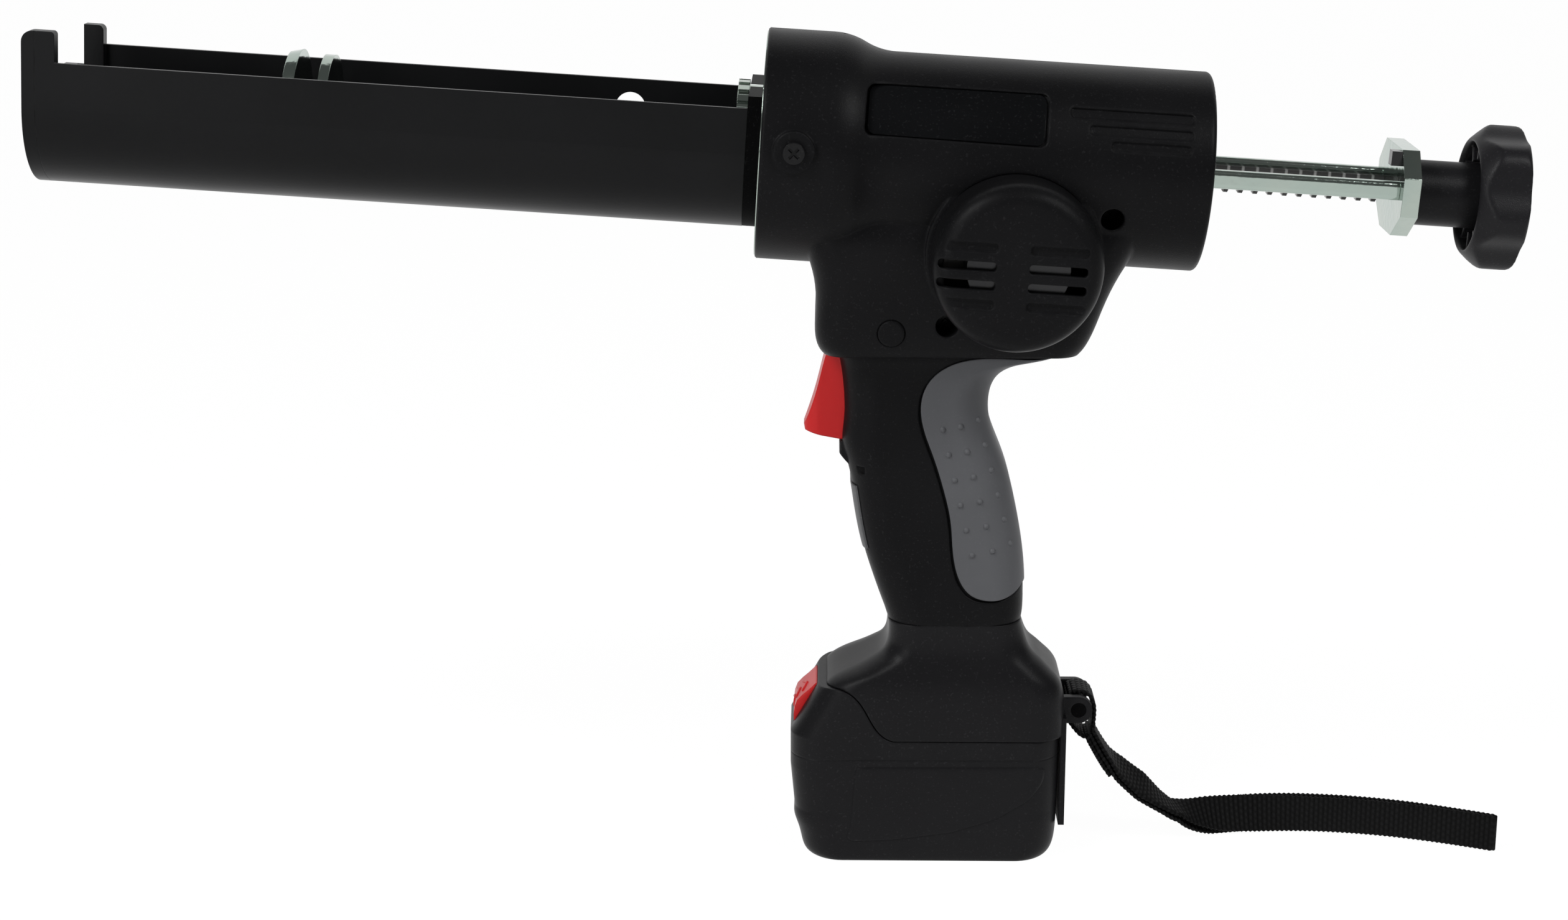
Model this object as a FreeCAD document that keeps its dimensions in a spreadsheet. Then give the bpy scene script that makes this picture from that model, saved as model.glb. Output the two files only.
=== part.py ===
"""Cordless caulking tool, built as separate named solids.

The tool stands on its battery.  +X points to the pull knob, +Y to the right side of the tool and
+Z up; the origin is the middle of the battery's base.  Pieces of the barrel are drawn in a barrel
frame (X along the barrel from the front face of the housing, Z across it) and then tilted.
"""
import FreeCAD, Part
import math
import os

import Sketcher
from FreeCAD import Placement, Rotation, Vector

SIZES = {
    # Barrel frame
    "barrel_x": 53.3, "barrel_z": 239.9, "barrel_tilt": 3.65,
    # Housing
    "wall": 3.0, "barrel_length": 140.6, "barrel_front_radius": 37.0, "barrel_rear_radius": 32.0,
    "bell_length": 20.0, "bell_blend": 20.0, "barrel_edge": 0.5, "barrel_rear_edge": 1.6,
    "flange_lip": 1.2,
    "motor_x": 25.5, "motor_z": 208.7, "motor_boss_radius": 28.0, "motor_boss_reach": 31.0,
    "far_boss_reach": 27.0, "split_gap": 0.1, "fit_gap": 0.3,
    "neck_half_width": 25.0, "grip_half_width": 16.8, "grip_corner": 11.0,
    # Front flange, ring and cradle
    "flange_radius": 36.0, "flange_thickness": 1.5, "spigot_length": 9.8, "spigot_outer": 18.6,
    "spigot_inner": 17.2, "ring_outer": 20.1, "ring_length": 3.6, "ring_slots": 24,
    "ring_slot_depth": 0.9,
    "ring_slot_width": 2.4, "cradle_length": 231.0, "cradle_radius": 27.0, "cradle_wall": 1.5,
    "cradle_rise": 14.5, "front_plate_thickness": 4.2, "rear_plate_thickness": 4.3,
    "rear_plate_rise": 18.4, "rear_plate_half_width": 26.9, "nozzle_slot": 24.0,
    "near_prong_rise": 24.2, "far_prong_rise": 21.0, "far_side_rise": 7.5, "prong_width": 4.5,
    "near_prong_length": 10.4, "far_prong_start": 7.0, "far_prong_length": 6.4,
    "swivel_gap": 0.15, "peep_hole_radius": 4.9, "peep_hole_from_front": 187.0, "peep_hole_drop": 9.3,
    # Push rod
    "rail_offset": 14.5, "rail_width": 4.0, "rail_height": 6.0, "rail_middle": 0.3, "rail_edge": 1.6,
    "rack_width": 3.5, "rack_pitch_drop": 2.8, "rack_height": 5.2, "rack_module": 1.5, "stub_factor": 0.8,
    "backlash": 0.25, "plunger_reach": 153.5, "piston_thickness": 3.9, "piston_radius": 20.4,
    "piston_front_radius": 19.5, "plunger_gap": 7.2, "pusher_thickness": 3.2, "pusher_radius": 19.2,
    "bolt_radius": 6.0, "end_plate_at": 201.6,
    "end_plate_thickness": 5.5, "end_plate_half_width": 21.0, "end_plate_rise": 13.2,
    "end_plate_drop": 15.0, "end_plate_chamfer": 8.0, "stem_radius": 10.5, "stem_length": 21.4,
    "knob_drop": 2.0, "knob_radius": 23.3, "knob_length": 15.8, "knob_lobes": 6, "knob_scallop": 8.5,
    "knob_hollow_radius": 17.0,
    "knob_hollow_depth": 7.0, "nut_width": 4.6, "nut_depth": 3.4, "nut_rise": 10.4, "nut_side": 12.0,
    # Drive
    "rack_pinion_teeth": 18, "final_gear_teeth": 34, "output_pinion_teeth": 12, "gear_module": 1.0,
    "final_gear_width": 8.0, "shaft_radius": 4.0, "output_shaft_radius": 3.0, "running_clearance": 0.04,
    "bush_radius": 6.0, "frame_plate_thickness": 3.0, "frame_inner": 17.5, "frame_post_radius": 2.6,
    "post_margin": 4.5,
    "motor_radius": 16.0, "gearbox_radius": 14.0, "gearbox_length": 11.0, "motor_length": 19.5,
    # Motor cover
    "cover_radius": 26.5, "cover_height": 23.0, "cover_wall": 2.4, "cover_edge": 6.0,
    "vent_length": 18.0, "vent_height": 3.0, "vent_pitch": 5.9, "vent_columns": 28.0, "vent_back": 2.0,
    "vent_drop": 2.1,
    # Trigger
    "trigger_half_width": 6.8, "trigger_gap": 0.35, "spring_wire": 0.8, "spring_radius": 3.2,
    # Battery and foot
    "battery_length": 90.0, "battery_half_width": 22.0, "battery_height": 43.0, "case_seam": 36.5,
    "case_wall": 2.4, "cell_radius": 9.2, "cell_length": 65.0, "cell_lift": 2.5, "seam_gap": 0.3,
    "tongue_half_width": 9.0, "tongue_stem_half_width": 6.5, "tongue_height": 6.5, "tongue_flange": 3.0,
    "tongue_length": 46.0, "blade_offset": 4.5, "blade_thickness": 0.8, "leaf_thickness": 0.4,
    "latch_half_width": 9.0, "stop_thickness": 2.0, "stop_half_width": 15.0, "lug_x": 51.6, "lug_z": 50.4,
    "lug_radius": 4.6,
    "lug_pin_radius": 2.6, "lug_ear": 3.0, "lug_gap": 15.0,
    # Wrist strap
    "strap_width": 13.0, "strap_thickness": 3.0,
}

# Cells worked out from the driving sizes, in the barrel frame: "along" runs along X and "up" along Z
WORKED_OUT = {
    "shaft_up": "-rack_pitch_drop - rack_module * rack_pinion_teeth / 2",
    "gear_distance": "gear_module * (final_gear_teeth + output_pinion_teeth) / 2",
    "motor_along": "(motor_x + barrel_x) * cos(barrel_tilt * 1 deg)"
                   " - (motor_z - barrel_z) * sin(barrel_tilt * 1 deg)",
    "motor_up": "(motor_x + barrel_x) * sin(barrel_tilt * 1 deg)"
                " + (motor_z - barrel_z) * cos(barrel_tilt * 1 deg)",
    "shaft_along": "motor_along - sqrt(gear_distance ^ 2 - (shaft_up - motor_up) ^ 2)",
    "frame_outer": "frame_inner + frame_plate_thickness",
    "rack_inner": "rail_offset - rail_width / 2 - rack_width",
    "post_front": "shaft_along - 21", "post_rear": "motor_along + 14",
    "post_high": "-10", "post_low": "motor_up - 12",
    "output_start": "-frame_outer - 0.7 * gearbox_length",
    "pusher_reach": "plunger_reach - piston_thickness - plunger_gap",
    "rail_start": "pusher_thickness - pusher_reach",
    "stem_start": "end_plate_at + end_plate_thickness",
    "knob_start": "stem_start + stem_length - 2",
    "block_base": "battery_height + tongue_height + seam_gap",
}

TURN_Z_TO_X = Rotation(Vector(0, 1, 0), 90)
TURN_Z_TO_Y = Rotation(Vector(1, 0, 0), -90)
UPRIGHT = Rotation(Vector(1, 0, 0), 90)
PRIMITIVES = ("Part::Box", "Part::Cylinder", "Part::Cone")
AXES = {"X": TURN_Z_TO_X, "Y": TURN_Z_TO_Y, "Z": Rotation()}

doc = FreeCAD.newDocument("caulking_tool")
sheet = doc.addObject("Spreadsheet::Sheet", "Sizes")
for row, (alias, amount) in enumerate(SIZES.items(), start=1):
    sheet.set(f"A{row}", alias)
    sheet.set(f"B{row}", str(amount))
    sheet.setAlias(f"B{row}", alias)
for row, (alias, formula) in enumerate(WORKED_OUT.items(), start=len(SIZES) + 1):
    sheet.set(f"A{row}", alias)
    sheet.set(f"B{row}", "=" + formula)
    sheet.setAlias(f"B{row}", alias)
    doc.recompute()
nodes = {}


def size(alias):
    """The number in one cell of the sheet."""
    return float(sheet.get(alias))


def bound(text):
    """An expression on the sheet: {name} becomes that cell."""
    return text.format(**{alias: f"Sizes.{alias}" for alias in (*SIZES, *WORKED_OUT)})


def bind(item, **expressions):
    """Binds properties of an object to the sheet; a double underscore stands for a dot."""
    for name, text in expressions.items():
        item.setExpression(name.replace("__", "."), bound(text))
    return item


def put(item, at):
    """Binds the place of an object to three expressions."""
    return bind(item, Placement__Base__x=at[0], Placement__Base__y=at[1], Placement__Base__z=at[2])


def block(name, lengths, at):
    """A box bound to the sheet."""
    item = doc.addObject("Part::Box", name)
    bind(item, Length=lengths[0], Width=lengths[1], Height=lengths[2])
    return put(item, at)


def rod(name, radius, length, at, axis="X"):
    """A cylinder along one axis bound to the sheet."""
    item = doc.addObject("Part::Cylinder", name)
    item.Placement = Placement(Vector(), AXES[axis])
    bind(item, Radius=radius, Height=length)
    return put(item, at)


def cone(name, radii, length, at, axis="X"):
    """A cone along one axis bound to the sheet."""
    item = doc.addObject("Part::Cone", name)
    item.Placement = Placement(Vector(), AXES[axis])
    bind(item, Radius1=radii[0], Radius2=radii[1], Height=length)
    return put(item, at)


def outline(name, points):
    """A sketch in the XZ plane whose corners are all bound to the sheet."""
    sketch = doc.addObject("Sketcher::SketchObject", name)
    count = len(points)
    start = [Vector(10.0 * math.cos(6.28 * k / count), 10.0 * math.sin(6.28 * k / count), 0)
             for k in range(count)]
    for k in range(count):
        sketch.addGeometry(Part.LineSegment(start[k], start[(k + 1) % count]))
    for k in range(count):
        sketch.addConstraint(Sketcher.Constraint("Coincident", k, 2, (k + 1) % count, 1))
    for k, corner in enumerate(points):
        for kind, text in zip(("DistanceX", "DistanceY"), corner):
            place = start[k].x if kind == "DistanceX" else start[k].y
            number = sketch.addConstraint(Sketcher.Constraint(kind, -1, 1, k, 1, place))
            sketch.setExpression(f"Constraints[{number}]", bound(text))
    sketch.Placement = Placement(Vector(), UPRIGHT)
    return sketch


def extruded(name, points, width, at_y="0"):
    """An XZ outline drawn out symmetrically along Y."""
    sketch = outline(name + "_outline", points)
    item = doc.addObject("Part::Extrusion", name)
    item.Base = sketch
    item.DirMode = "Custom"
    item.Dir = Vector(0, 1, 0)
    item.Solid = True
    item.Symmetric = True
    bind(item, LengthFwd=width)
    return bind(item, Placement__Base__y=at_y)


def fused(name, items):
    """The union of several objects."""
    item = doc.addObject("Part::MultiFuse", name)
    item.Shapes = items
    return item


def cut(name, base, tools):
    """An object less one or more others."""
    item = doc.addObject("Part::Cut", name)
    item.Base = base
    item.Tool = tools[0] if len(tools) == 1 else fused(name + "_tools", tools)
    return item


def solid(name, shape):
    """A freely worked out shape that neither sketches nor primitives give."""
    item = doc.addObject("Part::Feature", name)
    item.Shape = shape
    return item


def barrel_placement():
    """The barrel frame as a placement."""
    return Placement(Vector(-size("barrel_x"), 0, size("barrel_z")),
                     Rotation(Vector(0, 1, 0), size("barrel_tilt")))


def group(name, items):
    """Several objects as one."""
    item = doc.addObject("Part::Compound", name)
    item.Links = items
    return item


def node(label, item, in_barrel=False):
    """Names a finished piece, and tilts it with the barrel where it belongs to that frame."""
    if in_barrel and item.TypeId in PRIMITIVES:
        item = group(label + "_tilted", [item])
    nodes[label] = item
    if in_barrel:
        item.Placement = Placement(Vector(), Rotation(Vector(0, 1, 0), 1))
        bind(item, Placement__Rotation__Angle="{barrel_tilt}")
        put(item, ("-{barrel_x}", "0", "{barrel_z}"))
    return item


def barrel_node(label, shape):
    """A freely worked out piece of the barrel frame."""
    shape.Placement = barrel_placement().multiply(shape.Placement)
    nodes[label] = solid(label, shape)


def ring_section(z, x_front, x_rear, half_width, corner):
    """A level rounded rectangle as a wire of four lines and four arcs."""
    reach = min(corner, 0.96 * half_width, 0.48 * (x_rear - x_front))
    slant = reach * (1 - math.sqrt(0.5))
    corners = []
    for sx, sy, x, y in ((1, -1, x_rear, -half_width), (1, 1, x_rear, half_width),
                         (-1, 1, x_front, half_width), (-1, -1, x_front, -half_width)):
        first = Vector(x - sx * reach, y, z)
        second = Vector(x, y - sy * reach, z)
        middle = Vector(x - sx * slant, y - sy * slant, z)
        corners.append((first, middle, second) if sx * sy < 0 else (second, middle, first))
    edges = []
    for k in range(4):
        edges.append(Part.Arc(*corners[k]).toShape())
        edges.append(Part.makeLine(corners[k][2], corners[(k + 1) % 4][0]))
    return Part.Wire(edges)


def level_loft(sections, inset=0.0, ruled=False):
    """A solid through level rounded rectangles, drawn in by an inset."""
    wires = [ring_section(z, front + inset, rear - inset, half - inset, max(corner - inset, 1.0))
             for z, front, rear, half, corner in sections]
    return Part.makeLoft(wires, True, ruled)


def slab(points, half_width, y_middle=0.0):
    """A closed XZ outline of points drawn out along Y."""
    corners = [Vector(x, y_middle - half_width, z) for x, z in points]
    face = Part.Face(Part.makePolygon(corners + corners[:1]))
    return face.extrude(Vector(0, 2 * half_width, 0))


def along_y(radius, x, z, y_from, y_to):
    """A cylinder along Y at a place in the side plane."""
    return Part.makeCylinder(radius, y_to - y_from, Vector(x, y_from, z), Vector(0, 1, 0))


# Housing

FOOT_TOP = 82.5
NECK = [(222.0, -37.0, 68.0, 24.0, 9.0), (201.0, -38.0, 60.4, 26.0, 10.0),
        (186.0, -37.2, 53.9, 25.0, 10.0),
        (177.4, -36.5, 50.2, 23.6, 9.0), (174.0, -34.4, 47.8, 21.6, 8.0)]
GRIP = [(178.0, -31.0, 48.0, 18.0), (173.5, -29.8, 44.0, 17.6), (170.0, -29.0, 31.0, 17.2),
        (166.0, -28.4, 22.6, 16.8),
        (157.0, -27.6, 19.0, 16.8), (150.5, -27.7, 19.5, 16.8), (143.0, -28.2, 22.0, 16.8),
        (135.6, -26.4, 24.9, 16.8),
        (123.3, -24.1, 28.2, 16.8), (106.8, -20.8, 31.2, 17.0), (98.5, -18.2, 32.0, 17.3),
        (90.0, -15.2, 32.2, 17.8),
        (FOOT_TOP, -12.6, 31.6, 18.2)]


def grip_sections():
    """The grip's sections with the corner size of the sheet."""
    widen = size("grip_half_width") - 16.8
    return [(z, front, rear, half + widen, size("grip_corner")) for z, front, rear, half in GRIP]


def neck_sections():
    """The gear case's sections with the width of the sheet."""
    widen = size("neck_half_width") - 25.0
    return [(z, front, rear, half + widen, corner) for z, front, rear, half, corner in NECK]


INNER_ROUNDING = 0.5


def barrel_solid(inset=0.0):
    """The barrel with its bell mouth, turned about the barrel axis and placed."""
    length, edge = size("barrel_length"), size("barrel_edge")
    round_edge = max(size("barrel_rear_edge") - inset, INNER_ROUNDING)
    big, small = size("barrel_front_radius") - inset, size("barrel_rear_radius") - inset
    start, blend = size("bell_length"), size("bell_blend")
    drop = big - small
    bend = (blend * blend + drop * drop) / (4 * drop)
    quarter = math.asin(blend / 2 / bend) / 2
    reach, sag = bend * math.sin(quarter), bend * (1 - math.cos(quarter))
    lip = size("flange_lip")
    front, back = (-lip, length) if inset == 0 else (-lip - 1.0, length - inset)

    def at(x, r):
        return Vector(x, 0, r)

    edges = [
        Part.makeLine(at(front, 0), at(front, big - edge)),
        Part.makeLine(at(front, big - edge), at(front + edge, big)),
        Part.makeLine(at(front + edge, big), at(start, big)),
        Part.Arc(at(start, big), at(start + reach, big - sag),
                 at(start + blend / 2, big - drop / 2)).toShape(),
        Part.Arc(at(start + blend / 2, big - drop / 2), at(start + blend - reach, small + sag),
                 at(start + blend, small)).toShape(),
        Part.makeLine(at(start + blend, small), at(back - round_edge, small)),
        Part.Arc(at(back - round_edge, small), at(back - 0.293 * round_edge, small - 0.293 * round_edge),
                 at(back, small - round_edge)).toShape(),
        Part.makeLine(at(back, small - round_edge), at(back, 0)),
        Part.makeLine(at(back, 0), at(front, 0)),
    ]
    shape = Part.Face(Part.Wire(edges)).revolve(Vector(), Vector(1, 0, 0), 360)
    shape.Placement = barrel_placement()
    return shape


def rod_slots(clearance, x_from, x_to):
    """Two slots for the rails with their racks, in the barrel frame."""
    inner = size("rail_offset") - size("rail_width") / 2 - size("rack_width") - clearance
    outer = size("rail_offset") + size("rail_width") / 2 + clearance
    low = -size("rack_pitch_drop") - size("stub_factor") * size("rack_module") - clearance
    high = size("rail_middle") + size("rail_height") / 2 + clearance
    sides = [Part.makeBox(x_to - x_from, outer - inner, high - low, Vector(x_from, y, low))
             for y in (inner, -outer)]
    return Part.makeCompound(sides)


def trigger_pocket():
    """The opening that the trigger moves in."""
    gap = size("trigger_gap")
    half = size("trigger_half_width") + gap
    points = [(-50.0, 176.3), (-12.5, 176.3), (-12.5, 143.0 - gap), (-50.0, 143.0 - gap)]
    return slab(points, half)


PAD_X, PAD_Z, PAD_RADIUS, PAD_FACE = -43.8, 242.8, 6.5, 38.2
SCREW_WELLS = [(56.0, 220.4, 31.0), (4.9, 185.2, 26.0)]
COVER_GAP = 0.2
TOWER_RADIUS, WELL_RADIUS, SCREW_SEAT, SCREW_END = 4.5, 3.7, -8.0, 11.0
SCREW_RADIUS, SCREW_HEAD_RADIUS, SCREW_HEAD_LENGTH = 1.6, 3.4, 2.6


def housing_shapes():
    """The two hollow half shells of the housing."""
    wall = size("wall")
    x_motor, z_motor, radius = size("motor_x"), size("motor_z"), size("motor_boss_radius")
    near, far = -size("motor_boss_reach"), size("far_boss_reach")
    grip = level_loft(grip_sections())
    neck = level_loft(neck_sections())
    outer = barrel_solid().fuse([neck, grip, along_y(radius, x_motor, z_motor, near, far)])
    above_floor = Part.makeBox(400.0, 200.0, 200.0, Vector(-200.0, -100.0, NECK[-1][0] + wall))
    hollow = barrel_solid(wall).fuse([
        level_loft(neck_sections(), wall).common(above_floor),
        level_loft([(z + (wall if z > 175 else 0.0), *rest) for z, *rest in grip_sections()], wall),
        along_y(radius - wall, x_motor, z_motor, near - 1.0, far - wall),
    ])
    shell = outer.cut(hollow)
    slots = rod_slots(size("fit_gap") + 0.4, size("barrel_length") - 2 * wall,
                      size("barrel_length") + 1.0)
    slots.Placement = barrel_placement()
    cover_room = along_y(size("cover_radius") + COVER_GAP, x_motor, z_motor, -100.0, near)
    shell = shell.cut([slots, trigger_pocket(), cover_room])
    tower = [along_y(TOWER_RADIUS, x, z, 2.0 - reach, reach - 2.0) for x, z, reach in SCREW_WELLS]
    shell = shell.fuse([post.common(outer) for post in tower])
    holes = []
    for x, z, reach in SCREW_WELLS:
        holes += [along_y(WELL_RADIUS, x, z, -reach - 3.0, SCREW_SEAT),
                  along_y(SCREW_RADIUS, x, z, SCREW_SEAT, SCREW_END + 1.0)]
    shell = shell.cut(holes)
    gap = size("split_gap") / 2
    wide, tall = 400.0, 400.0
    left = shell.common(Part.makeBox(wide, 100.0, tall, Vector(-200.0, -100.0 - gap, 0.0)))
    right = shell.common(Part.makeBox(wide, 100.0, tall, Vector(-200.0, gap, 0.0)))
    return left, right


def largest(shape):
    """The largest solid of a shape."""
    return max(shape.Solids, key=lambda piece: piece.Volume)


left_shape, right_shape = housing_shapes()


def smooth_edge(points):
    """A smooth curve through points of the side plane."""
    curve = Part.BSplineCurve()
    curve.interpolate([Vector(x, 0, z) for x, z in points])
    return curve.toShape()


def curved_slab(curve_points, closing_points, half_width):
    """A side outline of one smooth curve closed by straight lines, drawn out along Y."""
    corners = [Vector(x, 0, z) for x, z in [curve_points[-1], *closing_points, curve_points[0]]]
    edges = [smooth_edge(curve_points), *Part.makePolygon(corners).Edges]
    face = Part.Face(Part.Wire(edges))
    face.translate(Vector(0, -half_width, 0))
    return face.extrude(Vector(0, 2 * half_width, 0))


# Trim let into the housing: soft grip, finger insert, label, plug, screw pad

SKIN_DEPTH, SKIN_PROUD, SKIN_GROOVE = 1.2, 0.5, 0.8
GRIP_SKIN_EDGE = [(41.0, 173.2), (17.2, 173.0), (8.0, 171.2), (2.6, 168.0), (-1.3, 163.0), (-2.8, 155.6),
                  (1.4, 140.2), (4.9, 129.0), (7.4, 117.8), (9.6, 100.7), (14.5, 93.0), (22.0, 91.2),
                  (31.5, 95.5)]
INSERT_LOW, INSERT_HIGH, INSERT_HALF = 107.0, 128.6, 11.6
SHELF = [(-29.1, 142.6), (-29.1, 138.6), (-26.0, 135.2), (-20.0, 135.2), (-20.0, 142.6)]
SHELF_HALF, SHELF_ROUNDING = 8.5, 2.4
WINDOW_X, WINDOW_Z, WINDOW_SIDE, WINDOW_FLOOR = -23.4, 133.4, 2.6, -13.2
LABEL_CORNERS = [(-20.9, 262.2), (36.1, 258.6), (34.8, 243.1), (-22.1, 247.3)]
LABEL_DEPTH, LABEL_THICKNESS, LABEL_ROUNDING = 1.0, 0.7, 2.4
LAYER_ROOM = 8.0
PLUG_X, PLUG_Z, PLUG_RADIUS, PLUG_DEPTH = -12.9, 182.7, 4.2, 3.0


def grip_skin(depth, proud):
    """A layer on the grip, from a depth below to a height above its surface."""
    return level_loft(grip_sections(), -proud).cut(level_loft(grip_sections(), depth))


def barrel_layer(low, high, corners, rounding):
    """A layer of the barrel between two radii within a round-cornered side outline, on the left side."""
    place = barrel_placement()
    length = size("barrel_length")
    ring = Part.makeCylinder(high, length, Vector(), Vector(1, 0, 0))
    ring = ring.cut(Part.makeCylinder(low, length, Vector(), Vector(1, 0, 0)))
    ring.Placement = place
    window = slab(corners, 30.0, -30.0)
    level = [edge for edge in window.Edges
             if edge.BoundBox.YLength > edge.BoundBox.DiagonalLength - 0.001]
    return ring.common(window.makeFillet(rounding, level))


GROOVES = [(42.4, 81.1, 252.3), (48.3, 80.6, 247.5), (55.1, 80.0, 243.0)]
GROOVE_DEPTH, GROOVE_HALF, GROOVE_ROUNDING = 0.7, 1.5, 1.2


def groove_shapes():
    """Three shallow round-ended channels along the left of the barrel near its rear."""
    radius, slope = size("barrel_rear_radius"), math.tan(math.radians(size("barrel_tilt")))
    cuts = []
    for front, rear, middle in GROOVES:
        fall = slope * (rear - front) / 2
        corners = [(front, middle + fall + GROOVE_HALF), (rear, middle - fall + GROOVE_HALF),
                   (rear, middle - fall - GROOVE_HALF), (front, middle + fall - GROOVE_HALF)]
        cuts.append(barrel_layer(radius - GROOVE_DEPTH, radius + LAYER_ROOM, corners, GROOVE_ROUNDING))
    return cuts


def neck_face(x, z):
    """How far the gear case reaches to the left at a place in the side plane."""
    line = Part.makeLine(Vector(x, -60.0, z), Vector(x, 0.0, z))
    return level_loft(neck_sections()).common(line).BoundBox.YMin


def trim_shapes():
    """The trim pieces, and what they displace in the housing."""
    grip_zone = curved_slab(GRIP_SKIN_EDGE, [(60.0, 110.0), (60.0, GRIP_SKIN_EDGE[0][1])], 40.0)
    insert_zone = Part.makeBox(20.0, 2 * INSERT_HALF, INSERT_HIGH - INSERT_LOW,
                               Vector(-34.0, -INSERT_HALF, INSERT_LOW))
    skin = grip_skin(SKIN_DEPTH, SKIN_PROUD)
    neck = level_loft(neck_sections())
    overmould = largest(skin.common(grip_zone).cut(neck))
    insert = largest(skin.common(insert_zone))
    radius = size("barrel_rear_radius")
    recess = barrel_layer(radius - LABEL_DEPTH, radius + LAYER_ROOM, LABEL_CORNERS, LABEL_ROUNDING)
    middle = (sum(x for x, _ in LABEL_CORNERS) / 4, sum(z for _, z in LABEL_CORNERS) / 4)
    inner = [(middle[0] + 0.97 * (x - middle[0]), middle[1] + 0.94 * (z - middle[1])) for x,
             z in LABEL_CORNERS]
    label = barrel_layer(radius - LABEL_DEPTH, radius - LABEL_DEPTH + LABEL_THICKNESS, inner,
                         LABEL_ROUNDING)
    face = neck_face(PLUG_X, PLUG_Z)
    plug = along_y(PLUG_RADIUS, PLUG_X, PLUG_Z, face - 0.4, face + PLUG_DEPTH)
    beyond = curved_slab([(x - SKIN_GROOVE, z - SKIN_GROOVE) for x, z in GRIP_SKIN_EDGE],
                         [(60.0, 110.0), (60.0, GRIP_SKIN_EDGE[0][1] - SKIN_GROOVE)], 40.0)
    groove = grip_skin(SKIN_DEPTH, SKIN_PROUD).common(beyond).cut(neck)
    return overmould, insert, recess, label, plug, groove


overmould_shape, insert_shape, label_recess, label_shape, plug_shape, skin_groove = trim_shapes()
screw_pad = along_y(PAD_RADIUS, PAD_X, PAD_Z, -PAD_FACE, size("wall") - size("barrel_front_radius"))
pad_hole = along_y(SCREW_RADIUS, PAD_X, PAD_Z, -PAD_FACE - 1.0, 0.0)


def frame_bosses(along_places):
    """Bosses of the right half shell that hold the gear frame at its posts."""
    bosses = []
    for along in along_places:
        for up in (size("post_high"), size("post_low")):
            spot = barrel_placement().multVec(Vector(along, 0, up))
            bosses.append(along_y(size("post_margin"), spot.x, spot.z, size("frame_outer"), 60.0))
    return bosses


GUIDE_THICKNESS, GUIDE_MARGIN = 4.0, 2.2


def guide_disc(grow):
    """The disc of the rear guide in the barrel frame, or the room for it when grown by a gap."""
    wall = size("wall")
    end = size("barrel_length") - wall
    radius = size("barrel_rear_radius") - wall - GUIDE_MARGIN + grow
    return Part.makeCylinder(radius, GUIDE_THICKNESS + grow, Vector(end - GUIDE_THICKNESS - grow, 0, 0),
                             Vector(1, 0, 0))


guide_room = guide_disc(size("fit_gap"))
guide_room.Placement = barrel_placement().multiply(guide_room.Placement)
flange_room = Part.makeCylinder(size("flange_radius") + size("split_gap"), size("flange_lip") + 1.0,
                                Vector(-size("flange_lip") - 1.0, 0, 0), Vector(1, 0, 0))
flange_room.Placement = barrel_placement().multiply(flange_room.Placement)


def shelf_halves():
    """The small step of the grip below the trigger, in front of its wall, left and right of the split."""
    wall = level_loft(grip_sections(), size("wall") / 2)
    step = slab(SHELF, SHELF_HALF).cut([wall, trigger_pocket()])
    upright = [edge for edge in step.Edges
               if edge.BoundBox.XMax < SHELF[0][0] + 0.01 and edge.BoundBox.ZLength > 1.0]
    step = step.makeFillet(SHELF_ROUNDING, upright)
    gap = size("split_gap") / 2
    left = step.common(Part.makeBox(100.0, 50.0, 100.0, Vector(-60.0, -50.0 - gap, 90.0)))
    right = step.common(Part.makeBox(100.0, 50.0, 100.0, Vector(-60.0, gap, 90.0)))
    return left, right


def finished_half(shape, inside, bosses, trim):
    """A half shell with its inner bosses, less the trim let into it."""
    posts = [boss.common(inside) for boss in bosses]
    return largest(shape.fuse(posts).cut(trim).removeSplitter())


case_outer = level_loft(neck_sections()).fuse([barrel_solid(), level_loft(grip_sections())])
left_bosses = [boss.mirror(Vector(), Vector(0, 1, 0)) for boss in frame_bosses([size("post_front")])]
right_bosses = frame_bosses([size("post_front"), size("post_rear")])
shared_trim = [overmould_shape, skin_groove, insert_shape, guide_room, flange_room]
window = Part.makeBox(WINDOW_SIDE, 10.0, WINDOW_SIDE, Vector(WINDOW_X, WINDOW_FLOOR - 10.0, WINDOW_Z))
left_trim = shared_trim + [label_recess, plug_shape, pad_hole, window, *groove_shapes()]
left_shelf, right_shelf = shelf_halves()
left_half = finished_half(left_shape.fuse([screw_pad, left_shelf]), case_outer, left_bosses, left_trim)
right_half = finished_half(right_shape.fuse(right_shelf), case_outer, right_bosses, shared_trim)
node("left_housing", solid("left_housing", left_half))
node("right_housing", solid("right_housing", right_half))
node("grip_overmould", solid("grip_overmould", overmould_shape))
node("finger_insert", solid("finger_insert", insert_shape))
node("label_plate", solid("label_plate", largest(label_shape)))
node("side_plug", solid("side_plug", plug_shape))


def screw(x, z, seat, reach):
    """A cross-head screw along Y whose head bears at a seat."""
    head = along_y(SCREW_HEAD_RADIUS, x, z, seat - SCREW_HEAD_LENGTH, seat)
    head = head.fuse(along_y(SCREW_RADIUS, x, z, seat, reach)).removeSplitter()
    for turn in (45.0, 135.0):
        bar = Part.makeBox(4.2, 1.2, 0.9, Vector(-2.1, seat - SCREW_HEAD_LENGTH - 0.01, -0.45))
        bar.rotate(Vector(), Vector(0, 1, 0), turn)
        bar.translate(Vector(x, 0, z))
        head = head.cut(bar)
    return head


screws = [screw(PAD_X, PAD_Z, -PAD_FACE, 9.0 - PAD_FACE)]
screws += [screw(x, z, SCREW_SEAT, SCREW_END) for x, z, _ in SCREW_WELLS]
node("housing_screws", solid("housing_screws", Part.makeCompound(screws)))


# Front flange with its spigot, and the ring that holds the cradle

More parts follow.
